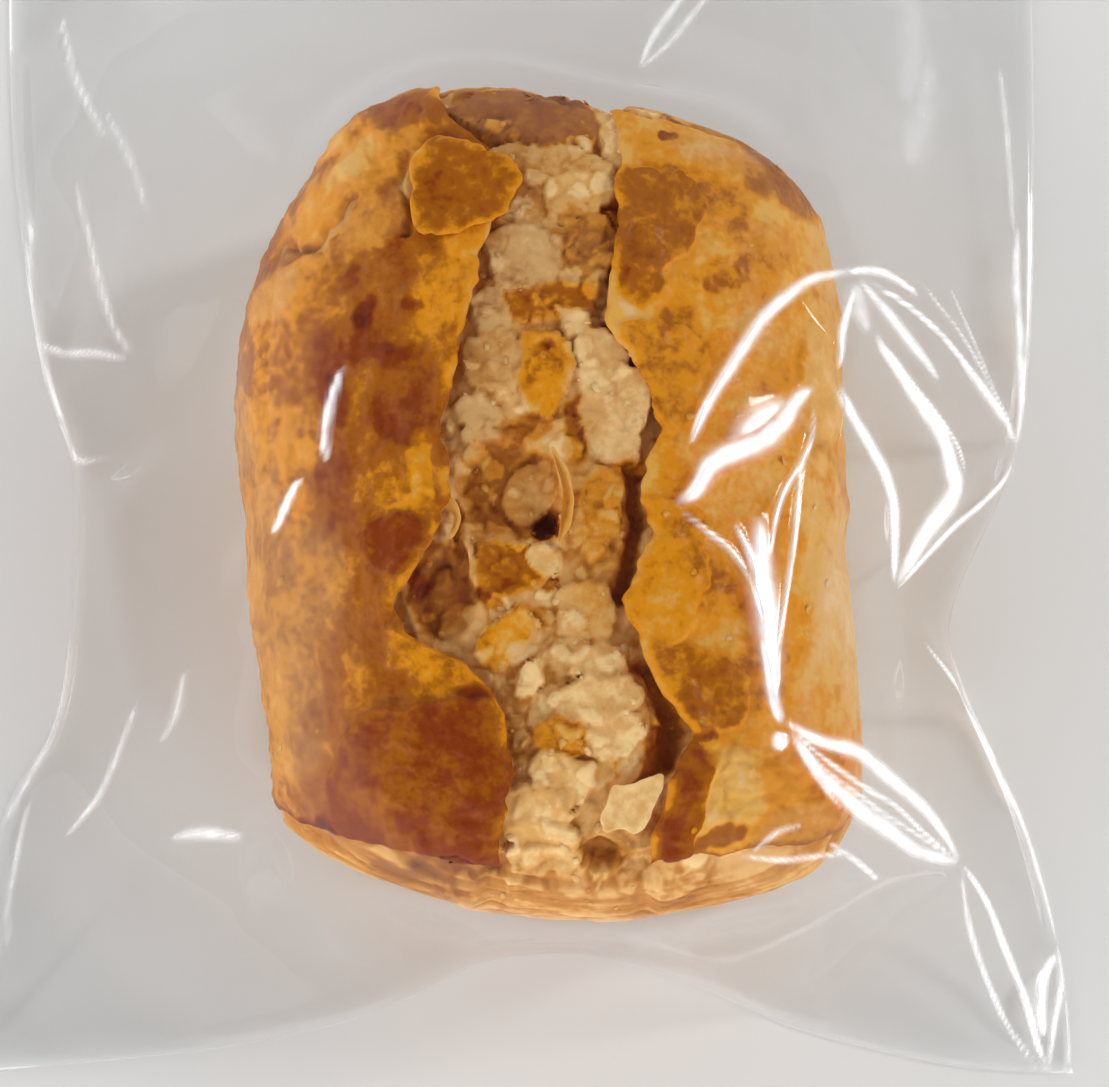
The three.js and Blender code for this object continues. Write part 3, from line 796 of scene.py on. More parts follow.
def resampled(points, length, origin, share):
    """Each row read again from its own origin: points, ways out, and distances from the origin."""
    out = grid_normals(points)
    places = np.empty((len(points), len(share), 6))
    smooth = softened(origin, LIP_NEIGHBOURS)
    wanted = smooth[:, None] + (length[:, -1] - smooth)[:, None] * share
    wanted = wanted + (origin - smooth)[:, None] * np.exp(-((wanted - smooth[:, None]) / LIP_FADE))
    for k in range(len(points)):
        for axis in range(3):
            places[k, :, axis] = np.interp(wanted[k], length[k], points[k, :, axis])
            places[k, :, axis + 3] = np.interp(wanted[k], length[k], out[k, :, axis])
    return places, wanted - origin[:, None]


def read_rows(values, rows):
    """Values of a grid at fractional row numbers, one set of rows for each column."""
    low = np.clip(np.floor(rows).astype(int), 0, len(values) - 2)
    share = rows - low
    column = np.arange(values.shape[1])[None, :]
    if values.ndim == 3:
        share = share[..., None]
    return mix(values[low, column], values[low + 1, column], share)


def border(grid):
    """The outermost places of a grid, once round."""
    return np.concatenate((grid[0, :-1], grid[:-1, -1], grid[-1, :0:-1], grid[:0:-1, 0]))


def border_inside(grid, inset):
    """Places of a grid along its border, drawn inwards by a share of its size."""
    rows, columns = grid.shape[:2]
    row, column = np.meshgrid(np.arange(rows), np.arange(columns), indexing="ij")
    row = mix(border(row), (rows - 1) / 2, 2 * inset)
    column = mix(border(column), (columns - 1) / 2, 2 * inset)
    low_row = np.clip(row.astype(int), 0, rows - 2)
    low_column = np.clip(column.astype(int), 0, columns - 2)
    down, across = (row - low_row)[:, None], (column - low_column)[:, None]
    near = mix(grid[low_row, low_column], grid[low_row, low_column + 1], across)
    far = mix(grid[low_row + 1, low_column], grid[low_row + 1, low_column + 1], across)
    return mix(near, far, down)


LOAF_FIELD = (-32, -58), (40, 36)  # rectangle in plan that holds the loaf
CRUST_BEVEL = 0.45
CRUST_LIFT = 0.55  # of the crust's outer face over the plain loaf
CRUST_SINK = 1.3  # how far the crust's inner face goes into the dough, away from its edges
CRUST_LOWEST = 0.1  # level below which the crust isn't carried
PLAIN_LOOKS = {-1: (0.62, 1.0, 0.05), 1: (0.35, 1.0, 0.05)}  # left and right half
SIDE_LOOK = (0.26, 0.5, 0.45)
CRUST_INSIDE = {"toast": 0.30, "glaze": 0.3, "chalk": 0.0}
CRUST_INSETS = (0, 0.012, 0.03, 0.06, 0.11, 0.2, 0.35)
# The two halves: name, lip, side, and where each starts and ends as shares of the loaf's length
CRUST_HALVES = (
    ("crust_left", LEFT_LIP, -1, 0.047, 0.955),
    ("crust_right", RIGHT_LIP, 1, 0.058, 0.955),
)


def crust_shell(name, lip, sign, front_edge, back_edge, sizes, material):
    """One half of the crust: a thick sheet from its torn lip, over the side and down to the base.

    sign is -1 for the left half and 1 for the right one. The edges are shares of the loaf's length.
    """
    t = np.linspace(0.004, 0.996, 440)
    columns = np.linspace(0, 1, sizes.crust_columns)
    share = 0.40 * columns + 0.60 * columns**1.6
    points, length, origin = rows_to_base(lip, sign, t)
    table, from_lip = resampled(points, length, origin, share)
    across = np.linspace(0, 60, len(share))
    edge_line = np.stack((across, np.full_like(across, 9.0 * sign), np.zeros_like(across)), axis=-1)
    ragged = 0.010 * LIP_NOISE.layered(edge_line, 5, 4)
    front = front_edge * (1 - 0.5 * smooth_step(0.12, 0.5, share)) + ragged
    back = back_edge + 0.9 * ragged[::-1]
    j = np.linspace(0, 1, sizes.crust_rows)[:, None]
    wanted = mix(front[None, :], back[None, :], j)
    rows = (wanted - t[0]) / (t[-1] - t[0]) * (len(t) - 1)
    table = read_rows(table, rows)
    base, out = table[..., :3], unit(table[..., 3:]) * sign
    to_lip = read_rows(from_lip, rows)
    arc = np.linalg.norm(np.diff(base, axis=0), axis=2).cumsum(axis=0)
    arc = np.pad(arc, ((1, 0), (0, 0)))
    to_end = np.minimum(arc, arc[-1:] - arc)
    edge = np.minimum(to_lip, to_end)
    along = np.stack((np.full(base.shape[:2], 70.0 * sign), base[..., 1], to_lip * 0), axis=-1)
    lift = 0.75 + 0.6 * CRUST_NOISE.at(along, 7)
    curl = sizes.lip_curl / MM * np.clip(lift, 0.1, 2) * np.exp(-to_lip / 2.6)
    thick = sizes.crust_thickness / MM
    drop = CRUST_BEVEL * (1 - np.sqrt(1 - np.clip(1 - edge / CRUST_BEVEL, 0, 1) ** 2))
    body = lumps(base) + CRUST_LIFT + curl
    side = smooth_step(24, 8, base[..., 2]) * smooth_step(-50, -44, base[..., 1])
    look = [mix(plain, paler, side) for plain, paler in zip(PLAIN_LOOKS[sign], SIDE_LOOK)]
    look = patched(base, look, CRUST_PATCHES)
    number = sizes.crust_flakes
    soft = chance_flakes(3 + sign, number, *LOAF_FIELD, (1.2, 4.4), (0.06, 0.22), (-0.16, 0.12), 1.3)
    crisp = chance_flakes(7 + sign, number // 3, *LOAF_FIELD, (0.8, 3.0), (0.02, 0.07), (-0.1, 0.1), 1.3)
    relief, look = flaked(base, crust_relief(base), look, soft, soft=1.0)
    relief, look = flaked(base, relief, look, crisp, soft=0.3, rim_and_painted_shade=0.5)
    relief, look = flaked(base, relief, look, CRUST_FLAKES, soft=0.25, rim_and_painted_shade=0.6)
    relief = relief * smooth_step(0, 1.0, edge)
    sink = CRUST_SINK * smooth_step(2.2, 7, edge)
    outer = base + out * (body + relief - drop)[..., None]
    inner = base + out * (body - thick - sink + 0.5 * drop)[..., None]
    outer[..., 2] = np.maximum(outer[..., 2], CRUST_LOWEST)
    inner[..., 2] = np.maximum(inner[..., 2], CRUST_LOWEST + 0.2)
    look = uneven(base, look)
    rim = np.exp(-((to_lip / 0.9) ** 2)) * smooth_step(-0.3, 0.5, CRUST_NOISE.at(along + 30, 4))
    look["toast"] = mix(look["toast"], 0.24, 0.7 * rim)
    look["chalk"] = look["chalk"] * (1 - rim)
    burnt = np.exp(-((to_end / 0.8) ** 2)) * smooth_step(-40, -46, base[..., 1])
    look["toast"] = mix(look["toast"], 0.95, 0.6 * burnt)
    skin = Skin()
    top = skin.add(outer, **look)
    skin.fill(top)
    rings = [(border_inside(inner, inset), CRUST_INSIDE) for inset in CRUST_INSETS]
    skin.close(border(top), rings, rings[-1][0].mean(axis=0), **CRUST_INSIDE)
    return skin.build(name, material)


# ---- The dough inside ----

DOUGH_NOISE = Noise(41)

# Hollows in the split: (x, y, half width, half length, turn in degrees, depth)
HOLLOWS = (
    (-0.9, -14.2, 5.4, 5.6, 0, 1.1),  # round recess
    (3.6, -17.6, 1.3, 1.9, -35, 1.5),  # hole in it
    (-7, -25.4, 3.6, 5, -15, 0.9),  # recess under the left lip
    (9.4, -52.4, 2.2, 1.5, 0, 1.1),
    (3.5, 1.7, 0.8, 0.6, 0, 1),
)
# Rectangle in plan that holds the split, and the lowest level of the flakes strewn in it
SPLIT_FIELD = (-14, -56), (20, 32)
SPLIT_LOWEST = 26
# Cracks in the split: depth, half width, then the points it runs through
CRACKS = (
    (1.2, 0.9, ((13.2, -12), (13.4, -17), (13, -20.5), (11.2, -25.6))),
    (1.3, 1.3, ((14.2, -33), (17.2, -38.5), (16.6, -42), (13.6, -45.6))),
    (0.9, 0.6, ((-6.2, -15), (-5.6, -20), (-7.4, -24))),
    (0.8, 0.5, ((14.6, -1), (13.4, 4), (10.6, 9))),
)


def hollows(points):
    """Depth of the hollows and cracks at each point."""
    total = np.zeros(points.shape[:-1])
    plan = points[..., :2] + 0.5 * DOUGH_NOISE.at(points + 30, 2.4)[..., None]
    for *oval, depth in HOLLOWS:
        total = np.maximum(total, depth * smooth_step(1.12, 0.8, oval_reach(plan, *oval)))
    return np.maximum(total, crack_depth(points, CRACKS))


def split_relief(points):
    """Torn flaky layers in the split: broad plates, crosswise tears and fine threads."""
    flat = points * (1, 1, 0)
    warp = np.stack([1.3 * DOUGH_NOISE.at(flat + k * 17, 4.0) for k in range(3)], axis=-1)
    front = smooth_step(-24, -32, points[..., 1])
    plates = stairs(2.3 * DOUGH_NOISE.layered(flat + warp, (7.5, 9, 9), 3))
    tears = stairs(2.6 * DOUGH_NOISE.layered(flat + warp + 60, (8, 3.0, 9), 3))
    threads = DOUGH_NOISE.layered(flat + 0.6 * warp + 25, (2.6, 0.8, 3), 2)
    crumbs = DOUGH_NOISE.layered(flat + 35, 1.1, 2)
    return mix(0.22 * plates, 0.26 * tears, front) + 0.12 * threads + 0.10 * crumbs


def end_relief(points):
    """Layers of dough seen on the cut ends, one above the other."""
    warp = 1.2 * DOUGH_NOISE.at(points, (9, 9, 6))
    leaf = DOUGH_NOISE.at(np.stack((points[..., 0] * 0.06, warp * 0, points[..., 2] + warp), -1), 1.3)
    return 0.55 * leaf + 0.35 * DOUGH_NOISE.layered(points + 15, (5, 4, 1.8), 3)


def even_shares(points, weight, count):
    """Numbers from 0 to 1 that step evenly along a row of points, closer where weight is larger."""
    step = np.linalg.norm(np.diff(points, axis=0), axis=1)
    step = step * (weight[1:] + weight[:-1]) / 2
    length = np.concatenate(([0], np.cumsum(step)))
    return np.interp(np.linspace(0, length[-1], count), length, np.linspace(0, 1, len(points)))


def split_share(points):
    """1 well inside the split, 0 under the crust on either side."""
    y = points[..., 1]
    left = points[..., 0] - np.interp(y, *np.array(LEFT_LIP)[::-1, ::-1].T)
    right = np.interp(y, *np.array(RIGHT_LIP)[::-1, ::-1].T) - points[..., 0]
    return smooth_step(-2.6, -0.9, np.minimum(left, right)), np.minimum(left, right)


def layered_ring(girth, under):
    """The dough's side at one level between girth and base, and how it looks there."""
    plan = LOAF_CENTRE + (girth - LOAF_CENTRE) * drawn_in(under)
    ring = np.column_stack((plan, np.full(len(plan), GIRTH * (1 - under))))
    away = unit(np.column_stack((plan - LOAF_CENTRE, np.zeros(len(plan)))))
    amount = (end_relief(ring) + lumps(ring)) * (1 - under**8)
    points = ring + away * (amount * smooth_step(0, 0.12, under))[:, None]
    # painted shade: the side's layers are darker where they sink in and paler where they stand out
    return points, {"toast": np.clip(0.50 - 0.5 * amount, 0, 1), "glaze": 0.1, "chalk": 0.5}


def dough_core(name, sizes, material):
    """The body of the roll: flaky where the crust has split, layered at the ends, flat below."""
    fine = np.linspace(0, 1, 2400)
    across_line = loaf_point(fine, 0.5)
    weight = np.where((across_line[:, 0] > -15) & (across_line[:, 0] < 21), 1.0, 0.22)
    s = even_shares(across_line, weight, sizes.core_columns)
    along_line = loaf_point(0.5, fine)
    t = even_shares(along_line, np.ones(len(fine)), sizes.core_rows)
    base = loaf_point(s[None, :], t[:, None])
    out = grid_normals(base)
    opened, to_lip = split_share(base)
    ends = smooth_step(0.052, 0.030, np.minimum(t, 1 - t))[:, None] * np.ones_like(opened)
    opened = opened * smooth_step(22, 32, base[..., 2])
    depth = sizes.split_depth / MM
    by_lip = 0.7 * np.exp(-np.clip(to_lip, 0, 9) / 1.3)
    pits = hollows(base)
    look = patched(base, (0.26, 0.15, 0.15), DOUGH_PATCHES)
    torn = split_relief(base) - depth - by_lip - pits
    number, low, high = sizes.split_flakes, *SPLIT_FIELD
    shades = (-0.18, 0.14)
    large = chance_flakes(17, number, low, high, (0.9, 3.0), (0.06, 0.28), shades, 0.8)
    small = chance_flakes(19, number, low, high, (0.6, 1.9), (0.05, 0.18), shades, 0.8)
    torn, look = flaked(base, torn, look, large, lowest=SPLIT_LOWEST, soft=0.3)
    torn, look = flaked(base, torn - 0.1, look, SPLIT_FLAKES, on_top=False, lowest=SPLIT_LOWEST, soft=0.22)
    torn, look = flaked(base, torn - 0.05, look, small, lowest=SPLIT_LOWEST, soft=0.2)
    torn = torn - 0.8 * pits
    torn = torn + 0.11 * DOUGH_NOISE.layered(base + 80, (1.8, 0.9, 2), 3)
    shape = lumps(base) - 0.2 + opened * torn * (1 - 0.4 * ends) + ends * end_relief(base)
    shape[0] = shape[-1] = 0
    shape[:, 0] = shape[:, -1] = 0
    place = base + out * shape[..., None]
    look = uneven(base, look, 1.2)
    # painted shade on the ends: darker where their layers sink in, paler where they stand out
    look["toast"] = look["toast"] - 0.4 * ends * end_relief(base) + 0.14 * ends
    cracked = smooth_step(0.3, 1.2, crack_depth(base, CRACKS))
    # painted shade: the dough is drawn darker under the lips and in the hollows, by their depth
    look["toast"] = mix(look["toast"] + 0.08 * by_lip + 0.03 * pits, 0.62, cracked)
    look["glaze"] = mix(look["glaze"], 1.0, cracked)
    skin = Skin()
    top = skin.add(place, **look)
    skin.fill(top)
    levels = np.linspace(0, 1, sizes.core_rings + 1)[1:]
    rings = [layered_ring(border(place)[:, :2], under) for under in levels]
    middle = np.array((*LOAF_CENTRE, 0.0))
    skin.close(border(top), rings, middle, toast=0.3, glaze=0.0, chalk=0.3)
    return skin.build(name, material)


# ---- Loose plates of pastry ----

PLATE_NOISE = Noise(52)

# Thin flakes that lie loose on the loaf: lift over the plain loaf, lift at the rim, thickness (all
# in millimetres), slope to the right and to the back, look (toast, glaze, chalk), outline (x, y)
PLATES = (
    (1.15, 0.4, 0.9, (0.03, 0), (0.62, 0.95, 0),
     ((-10, 23), (-5.6, 24.2), (0.6, 20.8), (0.3, 17.7), (-1.6, 14.8), (-5, 13.8), (-10.2, 14.2))),
    (-0.1, 0.8, 0.45, (0.18, 0), (0.32, 1, 0),
     ((4.2, -10), (5.6, -11.6), (6.5, -15), (6.2, -18), (4.9, -20), (5.2, -17), (5.3, -14))),
    (0.3, 0.2, 0.4, (-0.06, 0.06), (0.2, 0.1, 0.2),
     ((9.3, -49.6), (10.2, -45.3), (12.4, -44.9), (15.5, -43.8), (15, -46.5), (13.3, -49.7),
      (11.2, -49.3))),
    (-0.5, 0.5, 0.35, (0.06, 0.02), (0.30, 0.9, 0),
     ((-7.2, -15.2), (-6.2, -15), (-5.2, -17), (-5.8, -19), (-6.4, -19.2), (-6, -17.2))),
)
PLATE_RINGS = 11  # of faces from a plate's middle to its rim
PLATE_STEPS = 60  # faces round it


def add_plate(skin, lift, curl, thick, slope, look, corners):
    """One thin ragged flake, bent to the loaf's top."""
    loop = closed_curve(corners, PLATE_STEPS)
    centre = loop.mean(axis=0)
    solid_loop = np.column_stack((loop, np.zeros(len(loop))))
    torn = 1 + 0.09 * PLATE_NOISE.at(solid_loop, 2.2) + 0.06 * PLATE_NOISE.at(solid_loop, 0.9)
    loop = centre + (loop - centre) * torn[:, None]
    share = 1 - (1 - np.linspace(0, 1, PLATE_RINGS + 1)[1:]) ** 1.7
    share = share[:, None]
    plan = centre + share[..., None] * (loop - centre)
    here, out = loaf_top(plan[..., 0], plan[..., 1])
    flat = here * (1, 1, 0)
    wave = 1 + 0.7 * PLATE_NOISE.at(flat + 30, 3.0)
    rise = lift + lumps(here) + (plan - centre) @ np.array(slope) + curl * wave * share**3
    rise = rise + 0.16 * PLATE_NOISE.layered(flat + 60, (3.0, 1.6, 3), 3)
    half = 0.5 * thick * np.sqrt(np.clip(1 - share**10, 0.02, 1))
    upper, lower = here + out * (rise + half)[..., None], here + out * (rise - half)[..., None]
    toast, glaze, chalk = look
    edge = share**5 * np.ones(rise.shape)
    uneven = 0.12 * TOAST_NOISE.layered(here, 3.2, 3) + 0.08 * TOAST_NOISE.at(here + 40, 1.0)
    values = {"toast": toast + uneven - 0.22 * edge * min(1, toast * 2), "glaze": glaze, "chalk": chalk}
    middle, middle_out = loaf_top(*centre)
    level = lift + lumps(middle)
    top_dot = skin.add(middle + middle_out * (level + thick / 2), toast=toast, glaze=glaze, chalk=chalk)
    low_dot = skin.add(middle + middle_out * (level - thick / 2), toast=toast, glaze=glaze, chalk=chalk)
    top, low = skin.add(upper, **values), skin.add(lower, **values)
    skin.fan(top_dot, top[0])
    skin.fan(low_dot, low[0, ::-1])
    for k in range(PLATE_RINGS - 1):
        skin.bridge(top[k + 1], top[k], closed=True)
        skin.bridge(low[k], low[k + 1], closed=True)
    skin.bridge(low[-1], top[-1], closed=True)


def loose_plates(name, material):
    """All loose plates as one piece."""
    skin = Skin()
    for plate in PLATES:
        add_plate(skin, *plate)
    return skin.build(name, material)


# ---- Crumbs ----

CHIP_SIDES = 7
CHIP_KINDS = 5


def chip_kinds(material):
    """A few small flakes, one object each, in a collection of their own."""
    chance = np.random.default_rng(5)
    holder = bpy.data.collections.new("chip_kinds")
    for kind in range(CHIP_KINDS):
        skin = Skin()
        angle = np.linspace(0, 2 * math.pi, CHIP_SIDES, endpoint=False)
        reach = chance.uniform(0.55, 1.1, CHIP_SIDES)
        plan = np.column_stack((np.cos(angle) * reach * 1.3, np.sin(angle) * reach))
        bend = 0.22 * plan[:, 0] ** 2 + chance.uniform(-0.12, 0.12, CHIP_SIDES)
        rings = [skin.add(np.column_stack((plan, bend + side))) for side in (0.06, -0.06)]
        dots = [skin.add(np.array((0, 0, side))) for side in (0.09, -0.03)]
        skin.fan(dots[0], rings[0])
        skin.fan(dots[1], rings[1][::-1])
        skin.bridge(rings[1], rings[0], closed=True)
        chip = skin.build(f"chip_{kind}", material)
        bpy.context.collection.objects.unlink(chip)
        holder.objects.link(chip)
    return holder


class Nodes:
    """Short calls that add nodes to a node tree."""

    def __init__(self, tree):
        self.tree = tree

    def give(self, socket, value):
        """Sets a socket to a value, or links it to another socket."""
        if isinstance(value, bpy.types.NodeSocket):
            self.tree.links.new(value, socket)
        else:
            socket.default_value = value

    def add(self, kind, inputs=(), **settings):
        """Adds a node; inputs maps a socket's name or number to a value or to another socket."""
        node = self.tree.nodes.new(kind)
        for label, value in settings.items():
            setattr(node, label, value)
        for key, value in dict(inputs).items():
            self.give(node.inputs[key], value)
        return node

    def math(self, operation, a, b=0.0, c=0.0, clamp=False):
        """A sum of up to three numbers or sockets."""
        node = self.add("ShaderNodeMath", {0: a, 1: b, 2: c}, operation=operation, use_clamp=clamp)
        return node.outputs[0]


class ScatterTree(Nodes):
    """A geometry node tree with named inputs."""

    def __init__(self, name, inputs):
        super().__init__(bpy.data.node_groups.new(name, "GeometryNodeTree"))
        face = self.tree.interface
        self.sockets = {"Geometry": face.new_socket("Geometry", socket_type="NodeSocketGeometry")}
        for label, kind in inputs.items():
            self.sockets[label] = face.new_socket(label, in_out="INPUT", socket_type=kind)
        face.new_socket("Geometry", in_out="OUTPUT", socket_type="NodeSocketGeometry")
        self.given = self.tree.nodes.new("NodeGroupInput").outputs
        self.result = self.tree.nodes.new("NodeGroupOutput").inputs

    def made_plain(self, piece, values):
        """Runs the tree on a piece and keeps the result as a plain mesh."""
        modifier = piece.modifiers.new("scatter", "NODES")
        modifier.node_group = self.tree
        for label, value in values.items():
            modifier[self.sockets[label].identifier] = value
        bpy.context.view_layer.update()
        seen = piece.evaluated_get(bpy.context.evaluated_depsgraph_get())
        mesh = bpy.data.meshes.new_from_object(seen)
        piece.modifiers.clear()
        piece.data = mesh
        return piece


def crumb_tree():
    """Scatters chips over a surface, thickest where its crumb value is high."""
    tree = ScatterTree("crumb_scatter", {
        "Density": "NodeSocketFloat", "Smallest": "NodeSocketFloat", "Largest": "NodeSocketFloat",
        "Seed": "NodeSocketInt", "Chips": "NodeSocketCollection", "Material": "NodeSocketMaterial",
    })
    given = tree.given
    wanted = tree.add("GeometryNodeInputNamedAttribute", {"Name": "crumb"}, data_type="FLOAT")
    density = tree.math("MULTIPLY", given["Density"], wanted.outputs[0])
    scatter = tree.add("GeometryNodeDistributePointsOnFaces", {
        "Mesh": given["Geometry"], "Density": density, "Seed": given["Seed"],
    })
    tilt = tree.add("FunctionNodeRandomValue", {
        "Min": (-0.3, -0.3, 0.0), "Max": (0.3, 0.3, 6.28), "Seed": 3,
    }, data_type="FLOAT_VECTOR")
    turned = tree.add("FunctionNodeRotateRotation", {
        "Rotation": scatter.outputs["Rotation"], "Rotate By": tilt.outputs[0],
    }, rotation_space="LOCAL")
    size = tree.add("FunctionNodeRandomValue", {
        "Min": given["Smallest"], "Max": given["Largest"], "Seed": 4,
    }, data_type="FLOAT")
    kinds = tree.add("GeometryNodeCollectionInfo", {
        "Collection": given["Chips"], "Separate Children": True, "Reset Children": True,
    })
    placed = tree.add("GeometryNodeInstanceOnPoints", {
        "Points": scatter.outputs["Points"], "Instance": kinds.outputs[0], "Pick Instance": True,
        "Rotation": turned.outputs[0], "Scale": size.outputs[1],
    })
    real = tree.add("GeometryNodeRealizeInstances", {0: placed.outputs[0]})
    painted = tree.add("GeometryNodeSetMaterial", {
        "Geometry": real.outputs[0], "Material": given["Material"],
    })
    tree.give(tree.result[0], painted.outputs[0])
    return tree


def surface_copy(source, name, crumbs):
    """A copy of a piece that says how thickly crumbs lie on it and how they look."""
    mesh = source.data.copy()
    piece = bpy.data.objects.new(name, mesh)
    bpy.context.collection.objects.link(piece)
    places = np.zeros(len(mesh.vertices) * 3)
    mesh.vertices.foreach_get("co", places)
    places = places.reshape(-1, 3) / MM
    thickness, paler = crumbs(places)
    mesh.attributes.new("crumb", "FLOAT", "POINT").data.foreach_set("value", thickness)
    toast = np.zeros(len(places))
    mesh.attributes["toast"].data.foreach_get("value", toast)
    mesh.attributes["toast"].data.foreach_set("value", np.clip(toast - paler, 0, 1))
    return piece


def split_crumbs(places):
    """How thickly crumbs lie at places in the split, and how much paler they are than the dough."""
    inside, _ = split_share(places)
    high = smooth_step(24, 32, places[:, 2])
    return inside * high, 0.12


def crust_crumbs(places):
    """How thickly crumbs lie at places on the crust, and how much paler they are than it."""
    flaky = smooth_step(-0.1, 0.7, CRUST_NOISE.at(places, 9))
    return (0.10 + 0.5 * flaky) * smooth_step(3, 12, places[:, 2]), 0.16


def scattered(source, name, crumbs, values):
    """Chips scattered over one piece, as a piece of their own."""
    return crumb_tree().made_plain(surface_copy(source, name, crumbs), values)


# ---- The film bag ----

# Outline of the bag's two films where they meet: front left, front right, back left and back right
# corner, then points along each side
BAG_CORNERS = (-66.6, -76.6), (66.2, -76.6), (-66.8, 76.6), (66.8, 76.6)
BAG_LEFT = (
    (-62.7, -47.3), (-57.1, -35.8), (-55.4, -24), (-55.6, -4), (-60.2, 10), (-64.4, 34), (-66.2, 56),
)
BAG_RIGHT = (
    (65.4, -63.3), (61.6, -47), (54.6, -30), (53.6, -21), (60.4, -6), (63.4, 4), (65.4, 24), (66.4, 52),
)
BAG_FRONT = (
    (-40.5, -74.3), (-23.4, -71.4), (-12.3, -67.6), (-4.6, -63.8), (3.5, -62.6), (11.5, -63.2),
    (21.9, -66.3), (34, -71.4), (52, -75.6),
)
BAG_BACK = ((-44, 75.2), (-20, 71.4), (3, 69.8), (26, 71.6), (48, 75.4))
BAG_WIDTH, BAG_LENGTH = 134, 154
BAG_EDGE = 0.3  # level at which the two films meet
LOWER_FILM = 0.05  # level of the lower film
COVER_SIZE, COVER_GAP = 1.055, 2.3  # plan of the film's cover against the roll's, and its gap
TENT_HEIGHT = 36
FACET_SIZE = 13.0  # of the film's facets where nothing holds it

# Places where the upper film is held up or pulled taut: (x, y, height)
FILM_HOLDS = {
    "back arc": ((20, 22, 44.5), (28.7, 8.6, 42.6), (38.4, 13, 36), (50.1, 12, 22)),
    "right edge point": ((61.6, 0.2, 2.4),),
    "side peak": ((36.4, -1.2, 39.5),),
    "side facets": ((42.4, -7.8, 27), (52.4, -8, 15), (47, 2, 24)),
    "pinch": ((45.6, -19.9, 12),),
    "front peak": ((28.4, -40, 43.5),),
    "front fan": ((37, -43, 33), (44.5, -47.5, 21)),
    "front pinch": ((51.8, -52.6, 12),),
    "right rise": ((53, -31, 7), (58.2, -43.3, 6), (63, -58.6, 3)),
    "front facets": ((33.7, -68, 3), (56, -66, 6), (14, -61, 8), (-8, -61, 8)),
    "front left": ((-31, -58, 14), (-44, -50, 12), (-50, -62, 6), (-22, -64, 7)),
    "left slope": ((-44, -33, 20), (-47, -12, 19), (-48.5, 9, 17), (-45, 27, 18), (-52, 45, 9)),
    "left foot": ((-54, -40, 5), (-52, -20, 5), (-56, 12, 4.5), (-60, 36, 3.5)),
    "back slope": ((-26, 44, 22), (-6, 50, 20), (14, 50, 20), (34, 42, 22), (52, 34, 12), (58, 54, 5)),
    "back foot": ((-40, 62, 8), (-10, 64, 7), (16, 63, 8), (40, 62, 7)),
}
# Taut lines between the holds, by name and number
FILM_CREASES = (
    ("back arc", 1, "back arc", 2), ("back arc", 2, "back arc", 3), ("back arc", 3, "right edge point", 0),
    ("back arc", 2, "side peak", 0), ("side peak", 0, "side facets", 0), ("side facets", 0, "pinch", 0),
    ("back arc", 2, "side facets", 1), ("side facets", 1, "pinch", 0), ("right edge point", 0, "pinch", 0),
    ("side peak", 0, "front peak", 0), ("front peak", 0, "front fan", 0), ("front fan", 0, "front fan", 1),
    ("front fan", 1, "front pinch", 0), ("pinch", 0, "right rise", 0), ("right rise", 0, "right rise", 1),
    ("right rise", 1, "right rise", 2), ("front pinch", 0, "front facets", 1),
    ("front pinch", 0, "front facets", 0), ("front pinch", 0, "pinch", 0),
)
BROAD_FOLD = 0.4  # half width above which a fold counts as broad
FOLD_WIDTH = 1.3  # of the broad folds against the widths below
